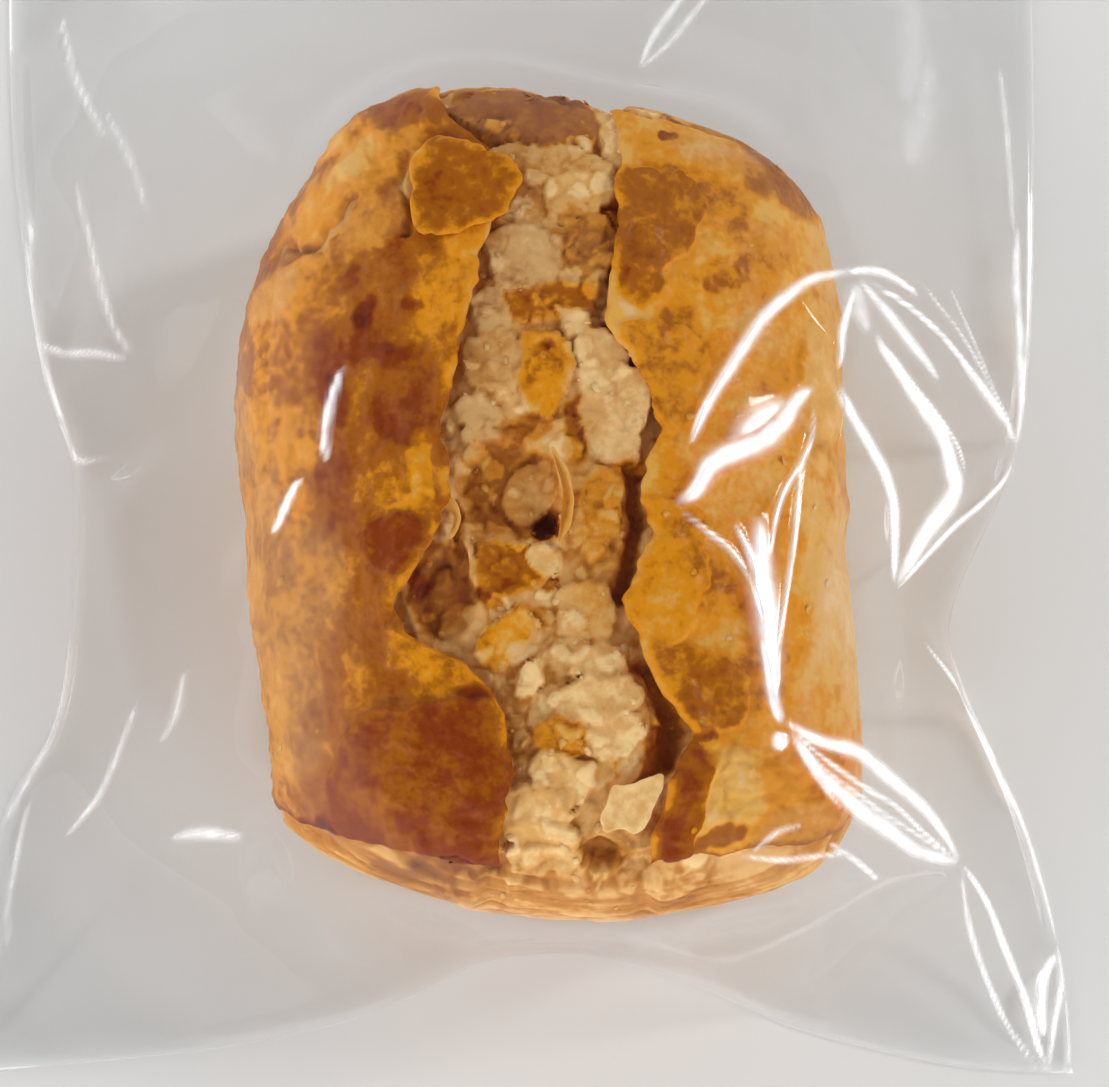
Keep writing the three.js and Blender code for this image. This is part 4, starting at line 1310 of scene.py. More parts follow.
# Folds that catch the light, with white laid along them as a painted highlight: height, half width, whiteness
# of that painted highlight, then points (x, y)
FILM_FOLDS = (
    (0.45, 0.45, 0.75, (
        (18.7, -9.9), (20.7, -5.1), (22.9, -1.4), (25, 2), (27.2, 5.3), (29.7, 7.3), (32.3, 9.4),
        (34.8, 10.4), (37.5, 11.6),
    )),
    (0.4, 0.4, 0.8, ((36.1, 10.8), (40.4, 12.4), (43, 12.4), (46.2, 11.6))),
    (0.3, 0.25, 1, ((18.8, -9.6), (19.5, -7.5), (20.5, -4.7))),
    (0.4, 0.35, 0.9, ((37.4, 9.6), (36.3, 6.4), (35.5, 3.7), (35.3, 1.4), (35, -0.5))),
    (0.2, 0.9, 0.35, ((37.7, 10), (37.6, 7.2), (39, 4.8))),
    (0.35, 0.5, 0.6, ((37.7, 10.4), (40.8, 8.8), (44.5, 6.3), (46.9, 4.5), (49.3, 2.8))),
    (0.4, 0.3, 0.85, ((39.4, 10.8), (44.5, 9.9), (49.2, 8.2), (52.9, 6.4), (57.5, 3.8), (62.7, 0.4))),
    (0.3, 0.55, 0.6, ((51.7, 6.8), (55.1, 5.1), (58.6, 3), (62.7, 0.4))),
    (0.3, 0.3, 0.36, ((46.3, 14), (48.8, 11.5), (51.9, 9.7), (55.3, 7.2), (59.1, 3.8), (62.8, 0.9))),
    (0.3, 0.25, 0.3, ((51, 15.2), (52.2, 12.2), (55.7, 8), (59.4, 3.4))),
    (0.6, 0.55, 1, (
        (34.7, -2), (36.3, -4.9), (39.1, -7.4), (41.7, -9.9), (43.1, -12.3), (43.6, -15.9),
        (43.8, -20.4),
    )),
    (0.7, 0.75, 1, (
        (40, 5.6), (40.8, 3.9), (42.9, 2.3), (45.9, -0.3), (49.3, -2.9), (51.1, -6.6), (51.9, -8.6),
        (50.3, -11.2), (48, -14.2), (44.4, -20.4),
    )),
    (0.4, 0.3, 0.8, ((40.9, 4.3), (44.4, 1.8), (48.9, -1.3), (52.1, -3.8), (53.3, -6.6))),
    (0.3, 0.22, 0.8, ((62.5, -0.4), (61.4, -3.6), (57.4, -7.9), (52.2, -12.4), (44.3, -20.8))),
    (0.6, 0.7, 1, (
        (17, -16.1), (19.2, -14.6), (20.7, -11.9), (22.7, -10.5), (26.4, -8.7), (28.8, -6.4),
        (30.6, -3.6), (32.5, -2.2),
    )),
    (0.2, 0.9, 0.35, ((22.7, -9.7), (24.7, -7.5), (27.2, -5.7), (29.9, -3.9))),
    (0.3, 0.22, 0.6, (
        (32.2, -4.1), (32.2, -7.2), (30.9, -10.5), (28.8, -14.1), (27.7, -17.5), (27.1, -21.8),
    )),
    (0.3, 0.22, 0.55, (
        (31.6, -7.9), (30.6, -12.8), (30, -17.4), (29.4, -21.3), (28.2, -28.1), (27.3, -33.1),
    )),
    (0.5, 0.85, 1, (
        (25.8, -16.8), (26.1, -19.2), (26.1, -22.8), (26.7, -27), (26.8, -29.9), (27.3, -35.8),
    )),
    (0.3, 0.4, 0.6, ((23.2, -17.8), (24.7, -20.6), (25.6, -24.6), (26.4, -28.4))),
    (0.25, 0.2, 0.5, ((17.5, -16.6), (20.5, -19), (23, -20.9), (25.3, -24.5), (26.4, -28.4))),
    (0.4, 0.45, 0.95, ((26.1, -29.4), (26.8, -33), (27.1, -36), (27.9, -39))),
    (0.5, 0.55, 0.54, (
        (63.2, 28.1), (62.6, 23.6), (62.6, 18.9), (62.9, 13.9), (63.3, 8.4), (63.4, 3.8), (62.4, -0.8),
    )),
    (0.3, 0.3, 0.24, ((61.4, 49.8), (62.1, 37.6), (62.4, 25.7))),
    (0.2, 0.2, 0.3, ((65.5, 34), (65.1, 24.5), (64.8, 16), (64, 8.4))),
    (0.4, 0.35, 0.9, (
        (48.1, -26), (51.9, -30), (56, -35.2), (58.9, -41.8), (61.7, -47.3), (63.2, -52.7),
        (64.2, -56.8), (65.1, -61.4),
    )),
    (0.2, 0.2, 0.55, ((53.2, -24.8), (54.9, -30.9), (57, -36), (58.9, -40.2))),
    (0.5, 0.55, 0.9, (
        (27.9, -38.6), (32, -40.3), (37, -41.2), (41.9, -43.5), (46.3, -46), (49.3, -49.1),
        (51.3, -52.1),
    )),
    (0.3, 0.28, 0.6, (
        (28.2, -39), (32.7, -42.2), (36.9, -44.5), (41.9, -46.1), (46.4, -49.1), (51.3, -52.1),
    )),
    (0.3, 0.28, 0.5, (
        (28.5, -39.1), (32.7, -43.3), (36.8, -45.6), (42.7, -48.1), (46.6, -49.9), (51.3, -52.1),
    )),
    (0.5, 0.6, 0.85, (
        (28.6, -39.5), (32.5, -44), (36.8, -47.1), (40.6, -48.6), (44.5, -50.8), (48.3, -51.7),
        (51.3, -52.1),
    )),
    (0.3, 0.25, 0.5, ((28.7, -39.9), (31.5, -43.8), (34.7, -47.4))),
    (0.3, 0.5, 1, ((27.8, -39.6), (27.7, -40.6), (28.1, -41.4))),
    (0.4, 0.35, 0.9, (
        (51.6, -52.1), (54.9, -56.4), (57.4, -61.5), (59.8, -66.7), (61.8, -72.4), (63.3, -76.5),
    )),
    (0.25, 0.2, 0.4, (
        (51.7, -52.6), (52.1, -55.8), (53.1, -60), (55.1, -65.1), (58.2, -71), (62.6, -76.5),
    )),
    (0.4, 0.45, 1, ((64.9, -62.6), (62.8, -65.5), (62.3, -68.6), (62.8, -72.4))),
    (0.3, 0.3, 0.7, ((65.1, -61.4), (65.4, -66), (64.2, -70.7), (63.3, -76.5))),
    (0.2, 0.2, 0.4, ((65.9, -67.8), (66.1, -72.5), (65.4, -76.6))),
    (0.2, 0.2, 0.6, ((33.1, -50.8), (36.5, -52.4), (40.1, -54.6))),
    (0.2, 0.2, 0.4, ((24.7, -51.9), (27.4, -49.8), (30.3, -49))),
    (0.2, 0.2, 0.4, ((23.5, -52.2), (28.1, -52.6), (32, -52.1), (35.8, -51.8))),
    (0.4, 0.35, 0.81, ((-17.9, -0.7), (-19, -4.2), (-19.7, -7.7), (-19.6, -11.1))),
    (0.4, 0.35, 0.72, ((-22.5, -12.4), (-24, -14.8), (-25.5, -18))),
    (0.3, 0.3, 0.29, (
        (-62.2, 31.8), (-62.2, 20), (-60.7, 12.2), (-58.3, 5.7), (-55.4, -1.8), (-49.2, -3.4),
    )),
    (0.3, 0.35, 0.25, ((-55.1, 32.3), (-53.4, 24.9), (-48, 11.3), (-44.9, 6.1))),
    (0.3, 0.35, 0.29, ((-60.9, 13.4), (-57.4, 11.3), (-51.8, 8.9), (-45.5, 6.1))),
    (0.2, 0.3, 0.17, ((-51.4, 40.5), (-46.6, 31.5), (-43.6, 23.5))),
    (0.3, 0.3, 0.21, ((-59.7, 57.8), (-55.7, 45.6), (-50.3, 35.6))),
    (0.3, 0.45, 0.33, ((-39.2, -49.5), (-34.7, -49.1), (-29.7, -49.7))),
    (0.3, 0.3, 0.25, ((-42.5, -34.1), (-47.9, -42.6), (-53.7, -49.2))),
    (0.3, 0.25, 0.21, ((-36.5, -31.4), (-37.6, -36.8), (-39.9, -39.3))),
    (0.3, 0.3, 0.21, ((-55.4, -24.5), (-55.9, -30.8), (-58.4, -39.4), (-62.8, -47.8))),
    (0.2, 0.35, 0.17, ((-58.8, -44.3), (-60.7, -53.8), (-61, -62.1))),
    (0.4, 0.3, 0.48, ((14.3, 38.1), (16, 43.2), (18.6, 49), (22.4, 55))),
    (0.3, 0.3, 0.36, ((14.3, 38.1), (17.7, 41.9), (20.7, 47.8), (24.1, 53.1))),
    (0.3, 1.4, 0.13, ((51.3, 47.3), (49.5, 38), (45.9, 28.9))),
    (0.3, 1.6, 0.11, ((49.1, 57.8), (48.9, 46.5), (47.4, 38.7))),
    (0.3, 0.3, 0.08, ((10, -59.4), (19.9, -62.5), (25.5, -63), (34.6, -58.1), (41.3, -54.5), (51.1, -52.5))),
)

FILM_NOISE = Noise(61)


def fold_width(half, route):
    """Half width that a fold is made with: narrow ones only as narrow as the film's vertices allow."""
    if half > BROAD_FOLD:
        return half * FOLD_WIDTH
    sparse = min(x for x, _ in route) < 10 or max(y for _, y in route) > 30
    return max(half, 0.42 if sparse else 0.28)


def fold_at(points, half, route):
    """1 along a route, 0 away from it: sharp near its middle and run out at both ends."""
    shares, rows = curve_table(route, 8)
    rows = along_curve((shares, rows), np.linspace(0, 1, max(4, int(len(rows) / 2))))
    low, high = rows.min(0) - 3 * half, rows.max(0) + 3 * half
    plan = points[..., :2]
    near = np.all((plan > low) & (plan < high), axis=-1)
    total = np.zeros(near.shape)
    if not near.any():
        return total
    spots = plan[near]
    nearest = np.full(len(spots), FAR)
    place = np.zeros(len(spots))
    for k, (start, end) in enumerate(zip(rows, rows[1:])):
        far, part = from_stretch(spots, start, end)
        closer = far < nearest
        nearest = np.where(closer, far, nearest)
        place = np.where(closer, (k + part) / (len(rows) - 1), place)
    middle = np.sin(math.pi * np.clip(place, 0, 1))
    width = half * (0.45 + 0.55 * middle)
    total[near] = np.clip(middle * 3, 0, 1) * np.exp(-((nearest / width) ** 2))
    return total


def tent_height(x, y):
    """Plain height of the upper film: over the roll, then down to the bag's edge."""
    dx = np.maximum(np.abs(x - LOAF_CENTRE[0]) - 32, 0) / np.where(x > LOAF_CENTRE[0], 29, 30)
    dy = np.maximum(np.abs(y - LOAF_CENTRE[1]) - 43, 0) / np.where(y > LOAF_CENTRE[1], 44, 23)
    return TENT_HEIGHT * np.clip(1 - np.hypot(dx, dy), 0, 1) ** 1.15


def film_net(outline):
    """Heights of the film on a net of flat triangles, as a tree that can be looked down on."""
    places = [(x, y, BAG_EDGE) for x, y in outline]
    numbers = {}  # of the holds among the places
    for name, holds in FILM_HOLDS.items():
        for k, hold in enumerate(holds):
            numbers[name, k] = len(places)
            places.append(hold)
    held = np.array(places)[:, :2]
    chance = np.random.default_rng(7)
    for x, y in itertools.product(np.arange(-54, 60, FACET_SIZE), np.arange(-66, 72, FACET_SIZE)):
        x, y = x + chance.uniform(-4, 4), y + chance.uniform(-4, 4)
        if np.min(np.hypot(held[:, 0] - x, held[:, 1] - y)) > 8.5:
            places.append((x, y, float(tent_height(x, y)) + chance.uniform(-0.9, 0.9)))
    rim = [(k, (k + 1) % len(outline)) for k in range(len(outline))]
    taut = [(numbers[a, i], numbers[b, j]) for a, i, b, j in FILM_CREASES]
    flat = [Vector(place[:2]) for place in places]
    made = geometry.delaunay_2d_cdt(flat, rim + taut, [], 0, 1e-5)
    net = []
    for place, source in zip(made[0], made[3]):
        height = places[source[0]][2] if source else float(tent_height(place.x, place.y))
        net.append((place.x, place.y, height))
    return BVHTree.FromPolygons(net, made[2])


def blurred(grid, reach):
    """A grid of numbers softened over reach cells both ways."""
    for axis in (0, 1):
        grid = np.apply_along_axis(softened, axis, grid, reach)
    return grid


def dense_shares(low, high, weight, count):
    """Numbers from 0 to 1 that lie weight times as close between low and high."""
    share = np.linspace(0, 1, 1001)
    soft = smooth_step(low - 0.08, low, share) * (1 - smooth_step(high, high + 0.08, share))
    length = np.cumsum(1 + (weight - 1) * soft)
    return np.interp(np.linspace(length[0], length[-1], count), length, share)


def roll_cover(points):
    """Lowest height that clears the roll, crust and all."""
    away = (points[..., :2] - LOAF_CENTRE) / COVER_SIZE + LOAF_CENTRE
    s, t = shares_at(away[..., 0], away[..., 1])
    plan = LOAF.plan(s, t)
    missed = np.hypot(plan[..., 0] - away[..., 0], plan[..., 1] - away[..., 1])
    return np.where(missed < 0.5, loaf_point(s, t)[..., 2] + COVER_GAP, 0)


def film_bag(name, sizes, material):
    """A closed bag: an upper film draped over the roll, and a flat lower one under it."""
    s = dense_shares(0.62, 0.98, 1.9, sizes.film_columns)[None, :]
    t = dense_shares(0.08, 0.66, 1.7, sizes.film_rows)[:, None]
    s, t = np.broadcast_arrays(s, t)
    plan = Outline(BAG_CORNERS, BAG_FRONT, BAG_BACK, BAG_LEFT, BAG_RIGHT).plan(s, t)
    outline = np.concatenate((plan[0, :-1:9], plan[:-1:9, -1], plan[-1, :0:-9], plan[:0:-9, 0]))
    tree = film_net([tuple(map(float, place)) for place in outline])
    height = np.full(s.shape, BAG_EDGE)
    for row, column in np.ndindex(height.shape):
        x, y = plan[row, column]
        hit = tree.ray_cast(Vector((x, y, 200)), Vector((0, 0, -1)))[0]
        if hit is not None:
            height[row, column] = hit.z
    cover = roll_cover(plan)
    height = blurred(np.maximum(height, cover), 3)
    place = np.concatenate((plan, height[..., None]), axis=-1)
    crease = np.zeros(height.shape)
    # each fold raises the film and also carries a painted highlight, white laid along it as strong as its
    # whiteness
    for amount, half, painted_white, route in FILM_FOLDS:
        fold = fold_at(place, fold_width(half, route), route)
        height = height + amount * fold
        crease = np.maximum(crease, painted_white * fold)
    flat = place * (1, 1, 0)
    ripple = 0.30 * FILM_NOISE.layered(flat, (11, 15, 9), 2) + 0.05 * FILM_NOISE.at(flat, 3.5)
    inside = np.minimum(np.minimum(s, 1 - s) * BAG_WIDTH, np.minimum(t, 1 - t) * BAG_LENGTH)
    rise = smooth_step(0, 3.0, inside)
    height = BAG_EDGE + (np.maximum(height + ripple, BAG_EDGE) - BAG_EDGE) * rise
    place[..., 2] = height
    skin = Skin()
    # the painted highlight along the folds, broken up by noise and carried to the material as a value
    crease = np.clip(crease * (1.25 + 0.7 * FILM_NOISE.layered(flat + 90, 2.2, 2)), 0, 1)
    top = skin.add(place, crease=crease)
    skin.fill(top)
    edge = border(plan)
    level = np.full(len(edge), LOWER_FILM)
    rings = [(np.column_stack((edge * inset, level)), {}) for inset in (0.995, 0.6, 0.25)]
    skin.close(border(top), rings, np.array((0.0, 0.0, LOWER_FILM)))
    return skin.build(name, material)


# ---- Materials ----

def srgb(*codes):
    """A linear colour from codes of 0 to 255."""
    parts = (code / 255 for code in codes)
    return tuple(((c + 0.055) / 1.055) ** 2.4 if c > 0.04045 else c / 12.92 for c in parts)


class Shader(Nodes):
    """A new material."""

    def __init__(self, name):
        self.material = bpy.data.materials.new(name)
        self.material.use_nodes = True
        super().__init__(self.material.node_tree)
        self.tree.nodes.clear()

    def value(self, label):
        """A value that the mesh carries."""
        return self.add("ShaderNodeAttribute", attribute_name=label).outputs["Fac"]

    def noise(self, size_mm, detail, distortion=0.0):
        """Noise of 0 to 1 on object coordinates, with bumps of about size_mm."""
        place = self.add("ShaderNodeTexCoord").outputs["Object"]
        scale = [1 / (size_mm * MM)] * 3
        grown = self.add("ShaderNodeMapping", {"Vector": place, "Scale": scale}).outputs[0]
        return self.add("ShaderNodeTexNoise", {
            "Vector": grown, "Scale": 1.0, "Detail": detail, "Roughness": 0.6, "Distortion": distortion,
        }).outputs["Fac"]

    def ramp(self, share, stops):
        """Colours at shares of 0 to 1, from (share, colour) pairs."""
        node = self.add("ShaderNodeValToRGB", {0: share})
        ramp = node.color_ramp
        ramp.interpolation = "EASE"
        while len(ramp.elements) < len(stops):
            ramp.elements.new(0.5)
        for element, (place, colour) in zip(ramp.elements, stops):
            element.position = place
            element.color = (*colour[:3], 1)
        return node.outputs["Color"]

    def blend(self, share, a, b):
        """A colour between two others."""
        return self.add("ShaderNodeMix", {0: share, 6: a, 7: b}, data_type="RGBA").outputs[2]

    def layer(self, share, under, over):
        """One surface seen through another."""
        return self.add("ShaderNodeMixShader", {0: share, 1: under, 2: over}).outputs[0]

    def surface(self, kind, **inputs):
        """A surface of one kind, with its inputs named in small letters."""
        named = {label.replace("_", " ").title(): value for label, value in inputs.items()}
        return self.add(f"ShaderNodeBsdf{kind}", named).outputs[0]

    def finish(self, surface):
        """The material, once its surface is known."""
        self.add("ShaderNodeOutputMaterial", {"Surface": surface})
        return self.material


DIMPLE_DEPTH = 0.3
DOUGH_ROUGHNESS, GLAZED_ROUGHNESS = 0.66, 0.42


def pastry_material(name, colours):
    """Baked pastry: browned by its toast value, and glossy where its glaze value says."""
    shader = Shader(name)
    mottle = shader.math("SUBTRACT", shader.noise(3.4, 3, 0.6), 0.5)
    speck = shader.math("SUBTRACT", shader.noise(0.9, 2), 0.5)
    uneven = shader.math("MULTIPLY", mottle, colours.mottle)
    uneven = shader.math("ADD", uneven, shader.math("MULTIPLY", speck, colours.speckle))
    toast = shader.math("ADD", shader.value("toast"), uneven, clamp=True)
    glaze = shader.value("glaze")
    crust = shader.ramp(toast, (
        (0.0, colours.crust_pale), (0.24, colours.crust_straw), (0.42, colours.crust_golden),
        (0.60, colours.crust_amber), (0.78, colours.crust_brown), (1.0, colours.crust_dark),
    ))
    dough = shader.ramp(toast, (
        (0.0, colours.dough_cream), (0.25, colours.dough_tan), (0.48, colours.dough_buff),
        (0.70, colours.dough_brown), (1.0, colours.dough_dark),
    ))
    colour = shader.blend(glaze, dough, crust)
    misted = shader.math("MULTIPLY", shader.value("chalk"), colours.steam)
    colour = shader.blend(misted, colour, (*colours.chalk, 1))
    dimples = shader.add("ShaderNodeBump", {
        "Height": shader.noise(1.6, 2.6), "Strength": 0.6, "Distance": DIMPLE_DEPTH * MM,
    })
    surface = shader.add("ShaderNodeBsdfPrincipled", {
        "Base Color": colour,
        "Roughness": shader.math("MULTIPLY_ADD", glaze, GLAZED_ROUGHNESS - DOUGH_ROUGHNESS, DOUGH_ROUGHNESS),
        "Normal": dimples.outputs[0],
        "Coat Weight": shader.math("MULTIPLY", glaze, colours.gloss),
        "Coat Roughness": 0.25,
        "Specular IOR Level": 0.06,
    })
    return shader.finish(surface.outputs[0])


def film_material(name, colours):
    """Thin clear film: seen through, with a mirror sheen that grows towards its edges, and a painted
    highlight of flat white with added gloss along its folds.
    """
    shader = Shader(name)
    facing = shader.add("ShaderNodeLayerWeight", {"Blend": 0.5}).outputs["Facing"]
    grazing = shader.math("POWER", facing, 4.0)
    mirror = shader.math("MULTIPLY_ADD", grazing, 1 - colours.film_mirror, colours.film_mirror)
    clear = shader.surface("Transparent", color=(0.985, 0.988, 0.99, 1))
    gloss = shader.surface("Glossy", color=(1, 1, 1, 1), roughness=0.06)
    haze = shader.surface("Diffuse", color=(0.9, 0.9, 0.92, 1))
    sheen = shader.surface("Glossy", color=(0.5, 0.5, 0.5, 1), roughness=0.3)
    # painted highlight: flat white along the folds, with a rough gloss added over it
    painted_white = shader.surface("Diffuse", color=(0.97, 0.97, 0.98, 1))
    film = shader.layer(colours.film_haze, shader.layer(mirror, clear, gloss), haze)
    fold_highlight = shader.add("ShaderNodeAddShader", {0: painted_white, 1: sheen}).outputs[0]
    creased = shader.math("MULTIPLY", shader.value("crease"), colours.film_crease)
    return shader.finish(shader.layer(creased, film, fold_highlight))


# ---- Settings ----

def length(name, description, default_mm):
    """A length property; its default is in millimetres."""
    return FloatProperty(
        name=name, description=description, default=default_mm * MM, min=0, unit="LENGTH",
    )


def colour(name, description, *codes):
    """A colour property; its default is given by codes of 0 to 255."""
    return FloatVectorProperty(
        name=name, description=description, default=srgb(*codes), min=0, max=1, size=3,
        subtype="COLOR",
    )


def share(name, description, default):
    """A property from 0 to 1."""
    return FloatProperty(
        name=name, description=description, default=default, min=0, max=1, subtype="FACTOR",
    )


def count(name, description, default):
    """A whole number property."""
    return IntProperty(name=name, description=description, default=default, min=2)


class BakerySizes(bpy.types.PropertyGroup):
    """Sizes and numbers that shape the crust, the dough, the crumbs and the film."""

    crust_thickness: length("Crust thickness", "Thickness of the torn crust's edge", 0.9)
    lip_curl: length("Lip curl", "How far the crust's torn edge lifts", 0.4)
    split_depth: length("Split depth", "How far the dough lies below the crust", 1.15)
    crust_rows: count("Crust rows", "Rows of faces along each crust", 330)
    crust_columns: count("Crust columns", "Columns of faces from lip to base", 215)
    core_rows: count("Dough rows", "Rows of faces along the dough", 380)
    core_columns: count("Dough columns", "Columns of faces across the dough", 190)
    core_rings: count("Dough rings", "Rings of faces below the girth", 18)
    split_flakes: count("Split flakes", "Flakes strewn in the split", 260)
    crust_flakes: count("Crust flakes", "Flakes strewn on the crust", 70)
    split_crumbs: share("Split crumbs", "Crumbs on a square millimetre of the split", 0.05)
    crust_crumbs: share("Crust crumbs", "Crumbs on a square millimetre of the crust", 0.025)
    crumb_smallest: share("Smallest crumb", "Smallest crumb's size against the model", 0.2)
    crumb_largest: share("Largest crumb", "Largest crumb's size against the model", 0.6)
    film_rows: count("Film rows", "Rows of faces along the film", 320)
    film_columns: count("Film columns", "Columns of faces across the film", 280)


class BakeryColours(bpy.types.PropertyGroup):
    """Colours of pastry from pale to well baked, and the looks of pastry and film."""

    crust_pale: colour("Pale crust", "Crust that the oven hardly reached", 232, 188, 130)
    crust_straw: colour("Straw crust", "Lightly baked crust", 232, 174, 80)
    crust_golden: colour("Golden crust", "Golden crust", 228, 146, 14)
    crust_amber: colour("Amber crust", "Well baked crust", 168, 92, 4)
    crust_brown: colour("Brown crust", "Brown crust", 138, 56, 2)
    crust_dark: colour("Dark crust", "Darkest edge", 98, 26, 4)
    dough_cream: colour("Cream dough", "Palest flakes", 255, 216, 150)
    dough_tan: colour("Tan dough", "Flakes in the split", 228, 174, 106)
    dough_buff: colour("Buff dough", "Duller flakes", 190, 124, 50)
    dough_brown: colour("Brown dough", "Browned flakes", 150, 78, 18)
    dough_dark: colour("Dark dough", "Deepest hollows", 100, 42, 8)
    chalk: colour("Chalk", "Steamed and greyed pastry", 198, 160, 112)
    steam: share("Steam", "How much steamed pastry greys", 0.34)
    mottle: share("Mottling", "Unevenness of the browning", 0.44)
    speckle: share("Speckle", "Fine unevenness of the browning", 0.24)
    gloss: share("Gloss", "Shine of the egg wash", 0.07)
    film_mirror: share("Film mirror", "How much the film reflects when seen straight on", 0.011)
    film_haze: share("Film haze", "Milkiness of the film", 0.003)
    # Strength of the painted highlight of white along the film's folds
    film_crease: share("Film creases", "Whiteness of the film's folds", 0.95)


class BakeryStage(bpy.types.PropertyGroup):
    """Floor, light and camera."""

    floor: colour("Floor", "Colour of the floor", 236, 235, 232)
    key: FloatProperty(name="Key light", description="Power of the small bright light", default=2.8)
    around: FloatProperty(name="Around", description="Strength of the light all round", default=1.58)
    overhead: FloatProperty(name="Overhead", description="Strength of the light straight above", default=0.08)
    lean: FloatVectorProperty(
        name="Lean", description="Side that is brighter, and by how much", default=(-0.46, -0.45, 0.0),
    )
    lens: FloatProperty(name="Lens", description="Focal length in millimetres", default=70.0)
    distance: length("Distance", "From the camera to the middle of the roll", 248)
    tilt: FloatProperty(
        name="Tilt", description="Angle of the view above the floor",
        default=math.radians(80), subtype="ANGLE",
    )


# ---- Operators ----

def settings():
    """The scene's sizes, colours and stage."""
    scene = bpy.context.scene
    return scene.bakery_sizes, scene.bakery_colours, scene.bakery_stage


class BAKERY_OT_dough(bpy.types.Operator):
    """Make the dough that shows in the split and at the ends"""

    bl_idname = "bakery.dough"
    bl_label = "Dough"

    def execute(self, context):
        sizes, colours, _ = settings()
        core = dough_core("dough", sizes, pastry_material("flaky_dough", colours))
        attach(core, "root")
        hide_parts("sausage_roll")
        return {"FINISHED"}


class BAKERY_OT_crust(bpy.types.Operator):
    """Make the two halves of the crust"""

    bl_idname = "bakery.crust"
    bl_label = "Crust"

    def execute(self, context):
        sizes, colours, _ = settings()
        for name, lip, sign, front, back in CRUST_HALVES:
            baked = pastry_material(f"baked_{name}", colours)
            shell = crust_shell(name, lip, sign, front, back, sizes, baked)
            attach(shell, "root")
        return {"FINISHED"}


class BAKERY_OT_plates(bpy.types.Operator):
    """Make the loose plates of pastry"""

    bl_idname = "bakery.plates"
    bl_label = "Loose plates"

    def execute(self, context):
        _, colours, _ = settings()
        plates = loose_plates("loose_plates", pastry_material("plate_pastry", colours))
        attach(plates, "root")
        return {"FINISHED"}


class BAKERY_OT_crumbs(bpy.types.Operator):
    """Scatter small flakes over the dough and the crust"""

    bl_idname = "bakery.crumbs"
    bl_label = "Crumbs"

    def execute(self, context):
        sizes, colours, _ = settings()
        pastry = pastry_material("crumb_pastry", colours)
        chips = chip_kinds(pastry)
        for seed, (name, source, crumbs, density) in enumerate((
            ("crumbs_split", "dough", split_crumbs, sizes.split_crumbs),
            ("crumbs_left", "crust_left", crust_crumbs, sizes.crust_crumbs),
            ("crumbs_right", "crust_right", crust_crumbs, sizes.crust_crumbs),
        )):
            piece = scattered(bpy.data.objects[source], name, crumbs, {
                "Density": density / MM**2, "Smallest": sizes.crumb_smallest,
                "Largest": sizes.crumb_largest, "Seed": seed, "Chips": chips, "Material": pastry,
            })
            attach(piece, "root")
        return {"FINISHED"}


class BAKERY_OT_bag(bpy.types.Operator):
    """Make the clear film bag"""

    bl_idname = "bakery.bag"
    bl_label = "Film bag"

    def execute(self, context):
        sizes, colours, _ = settings()
        film = film_bag("film_bag", sizes, film_material("clear_film", colours))
        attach(film, "root")
        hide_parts("bag")
        return {"FINISHED"}


# Places on the stage, in metres but for the camera's
FLOOR_HALF = 3.0
FLOOR_DROP = 0.0004
KEY_PLACE, KEY_AIM = (0.88, 0.36, 0.75), (0, 0, 0.02)
KEY_SIZE = (0.10, 0.17)
CAMERA_AIM = (4.5, -16.0, 20.0)
# Heights in the sky, 1 straight above, between which its light goes over from around to overhead,
# and how far that change is tipped to the side
WORLD_FADE = (0.50, 0.90)
WORLD_TIP = -0.10


def soft_light(name, place, aim, size, power):
    """An area light at place, in metres, facing aim. power is in watts."""
    lamp = bpy.data.lights.new(name, "AREA")
    lamp.shape = "RECTANGLE"
    lamp.size, lamp.size_y = size
    lamp.energy = power
    light = bpy.data.objects.new(name, lamp)
    light.location = place
    light.rotation_euler = (Vector(aim) - Vector(place)).to_track_quat("-Z", "Y").to_euler()
    bpy.context.collection.objects.link(light)
    return light


def studio_world(stage):
    """Soft light from all round, dim straight above and brighter on the side it leans to."""
    world = bpy.data.worlds.new("studio")
    world.use_nodes = True
    nodes = Nodes(world.node_tree)
    way = nodes.add("ShaderNodeTexCoord").outputs["Generated"]
    split = nodes.add("ShaderNodeSeparateXYZ", {0: way})
    height = nodes.math("MULTIPLY_ADD", split.outputs["X"], WORLD_TIP, split.outputs["Z"])
    fade = nodes.add("ShaderNodeMapRange", {
        "Value": height, "From Min": WORLD_FADE[0], "From Max": WORLD_FADE[1],
        "To Min": stage.around, "To Max": stage.overhead,
    }, interpolation_type="SMOOTHSTEP").outputs["Result"]
    aside = nodes.add("ShaderNodeVectorMath", {0: way, 1: stage.lean}, operation="DOT_PRODUCT")
    strength = nodes.math("MULTIPLY_ADD", aside.outputs["Value"], fade, fade)
    background = world.node_tree.nodes["Background"]
    nodes.give(background.inputs["Color"], (0.97, 0.98, 1.0, 1))
    nodes.give(background.inputs["Strength"], strength)
    return world


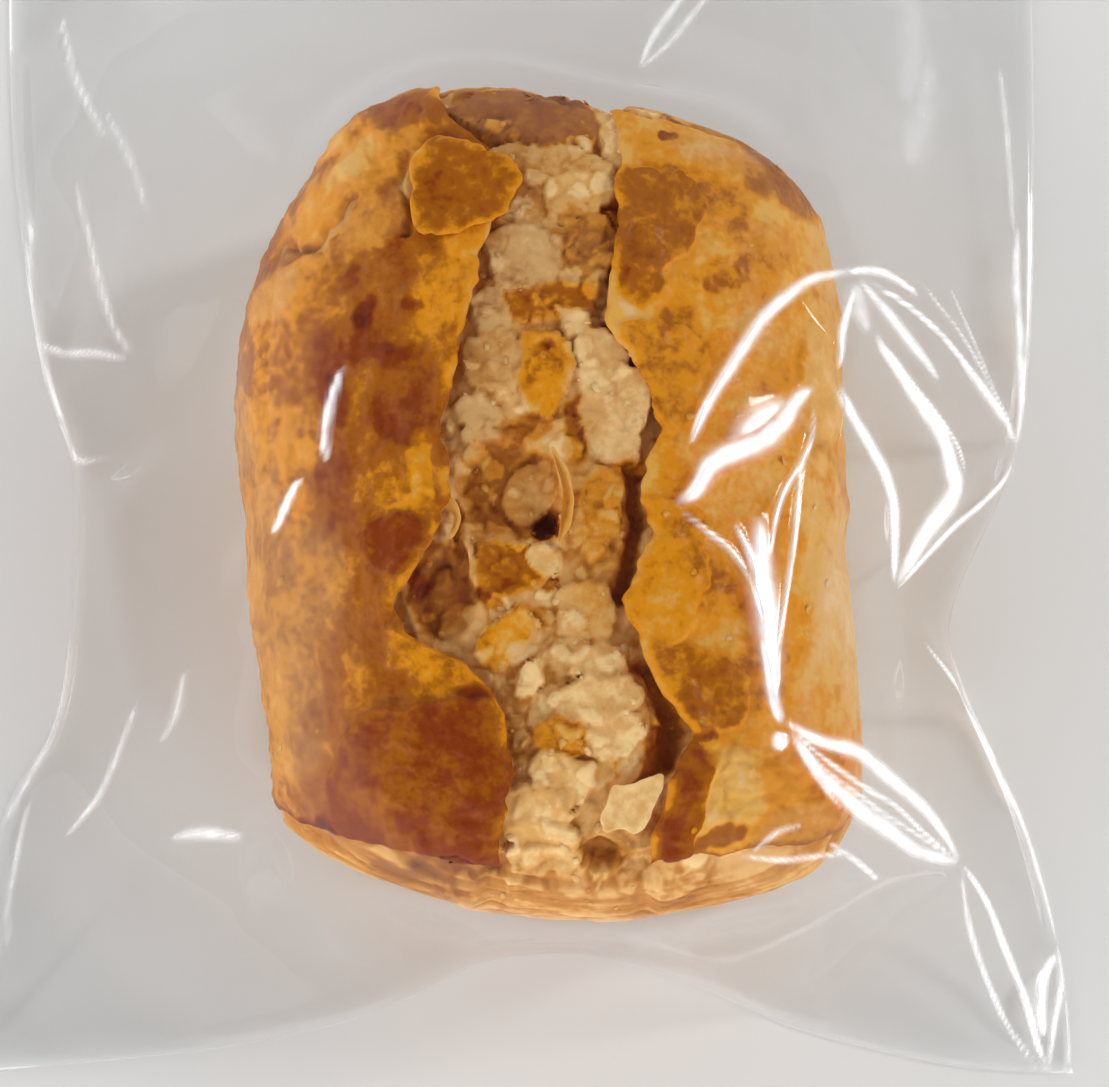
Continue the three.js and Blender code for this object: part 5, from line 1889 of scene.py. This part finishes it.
class BAKERY_OT_stage(bpy.types.Operator):
    """Make the floor, the light and the camera"""

    bl_idname = "bakery.stage"
    bl_label = "Stage"

    def execute(self, context):
        _, _, stage = settings()
        signs = (-1, -1), (1, -1), (1, 1), (-1, 1)
        corners = [(x * FLOOR_HALF, y * FLOOR_HALF, -FLOOR_DROP) for x, y in signs]
        mesh = bpy.data.meshes.new("floor")
        mesh.from_pydata(corners, [], [(0, 1, 2, 3)])
        floor = bpy.data.objects.new("floor", mesh)
        context.collection.objects.link(floor)
        shader = Shader("pale_floor")
        plain = shader.add("ShaderNodeBsdfPrincipled", {
            "Base Color": (*stage.floor, 1), "Roughness": 0.6,
        })
        mesh.materials.append(shader.finish(plain.outputs[0]))
        soft_light("key", KEY_PLACE, KEY_AIM, KEY_SIZE, stage.key)
        scene = context.scene
        scene.world = studio_world(stage)
        scene.view_settings.view_transform = "Standard"
        aim = Vector(CAMERA_AIM) * MM
        back = Vector((0, -math.cos(stage.tilt), math.sin(stage.tilt)))
        camera = bpy.data.objects.new("camera", bpy.data.cameras.new("camera"))
        camera.data.lens = stage.lens
        camera.data.clip_start = 0.01
        camera.location = aim + back * stage.distance
        camera.rotation_euler = (-back).to_track_quat("-Z", "Y").to_euler()
        context.collection.objects.link(camera)
        scene.camera = camera
        return {"FINISHED"}


class BAKERY_PT_panel(bpy.types.Panel):
    """Lists the settings and the pieces"""

    bl_idname = "BAKERY_PT_panel"
    bl_label = "Bagged Sausage Roll"
    bl_space_type = "VIEW_3D"
    bl_region_type = "UI"
    bl_category = "Bakery"

    def draw(self, context):
        for group in settings():
            box = self.layout.box()
            for label in group.bl_rna.properties.keys():
                if label not in ("rna_type", "name"):
                    box.prop(group, label)
        for operator in PIECES:
            self.layout.operator(operator.bl_idname)


PIECES = (
    BAKERY_OT_dough, BAKERY_OT_crust, BAKERY_OT_plates, BAKERY_OT_crumbs, BAKERY_OT_bag, BAKERY_OT_stage,
)
GROUPS = {
    "bakery_sizes": BakerySizes,
    "bakery_colours": BakeryColours,
    "bakery_stage": BakeryStage,
}


def register():
    """Makes the settings, the operators and the panel known."""
    for kind in (*GROUPS.values(), *PIECES, BAKERY_PT_panel):
        bpy.utils.register_class(kind)
    for label, group in GROUPS.items():
        setattr(bpy.types.Scene, label, PointerProperty(type=group))


def unregister():
    """Takes back what register has done."""
    for label in GROUPS:
        delattr(bpy.types.Scene, label)
    for kind in (BAKERY_PT_panel, *PIECES[::-1], *reversed(GROUPS.values())):
        bpy.utils.unregister_class(kind)


def main():
    """Makes every piece and the stage."""
    register()
    for operator in PIECES:
        family, name = operator.bl_idname.split(".")
        getattr(getattr(bpy.ops, family), name)()


if __name__ == "__main__":
    main()
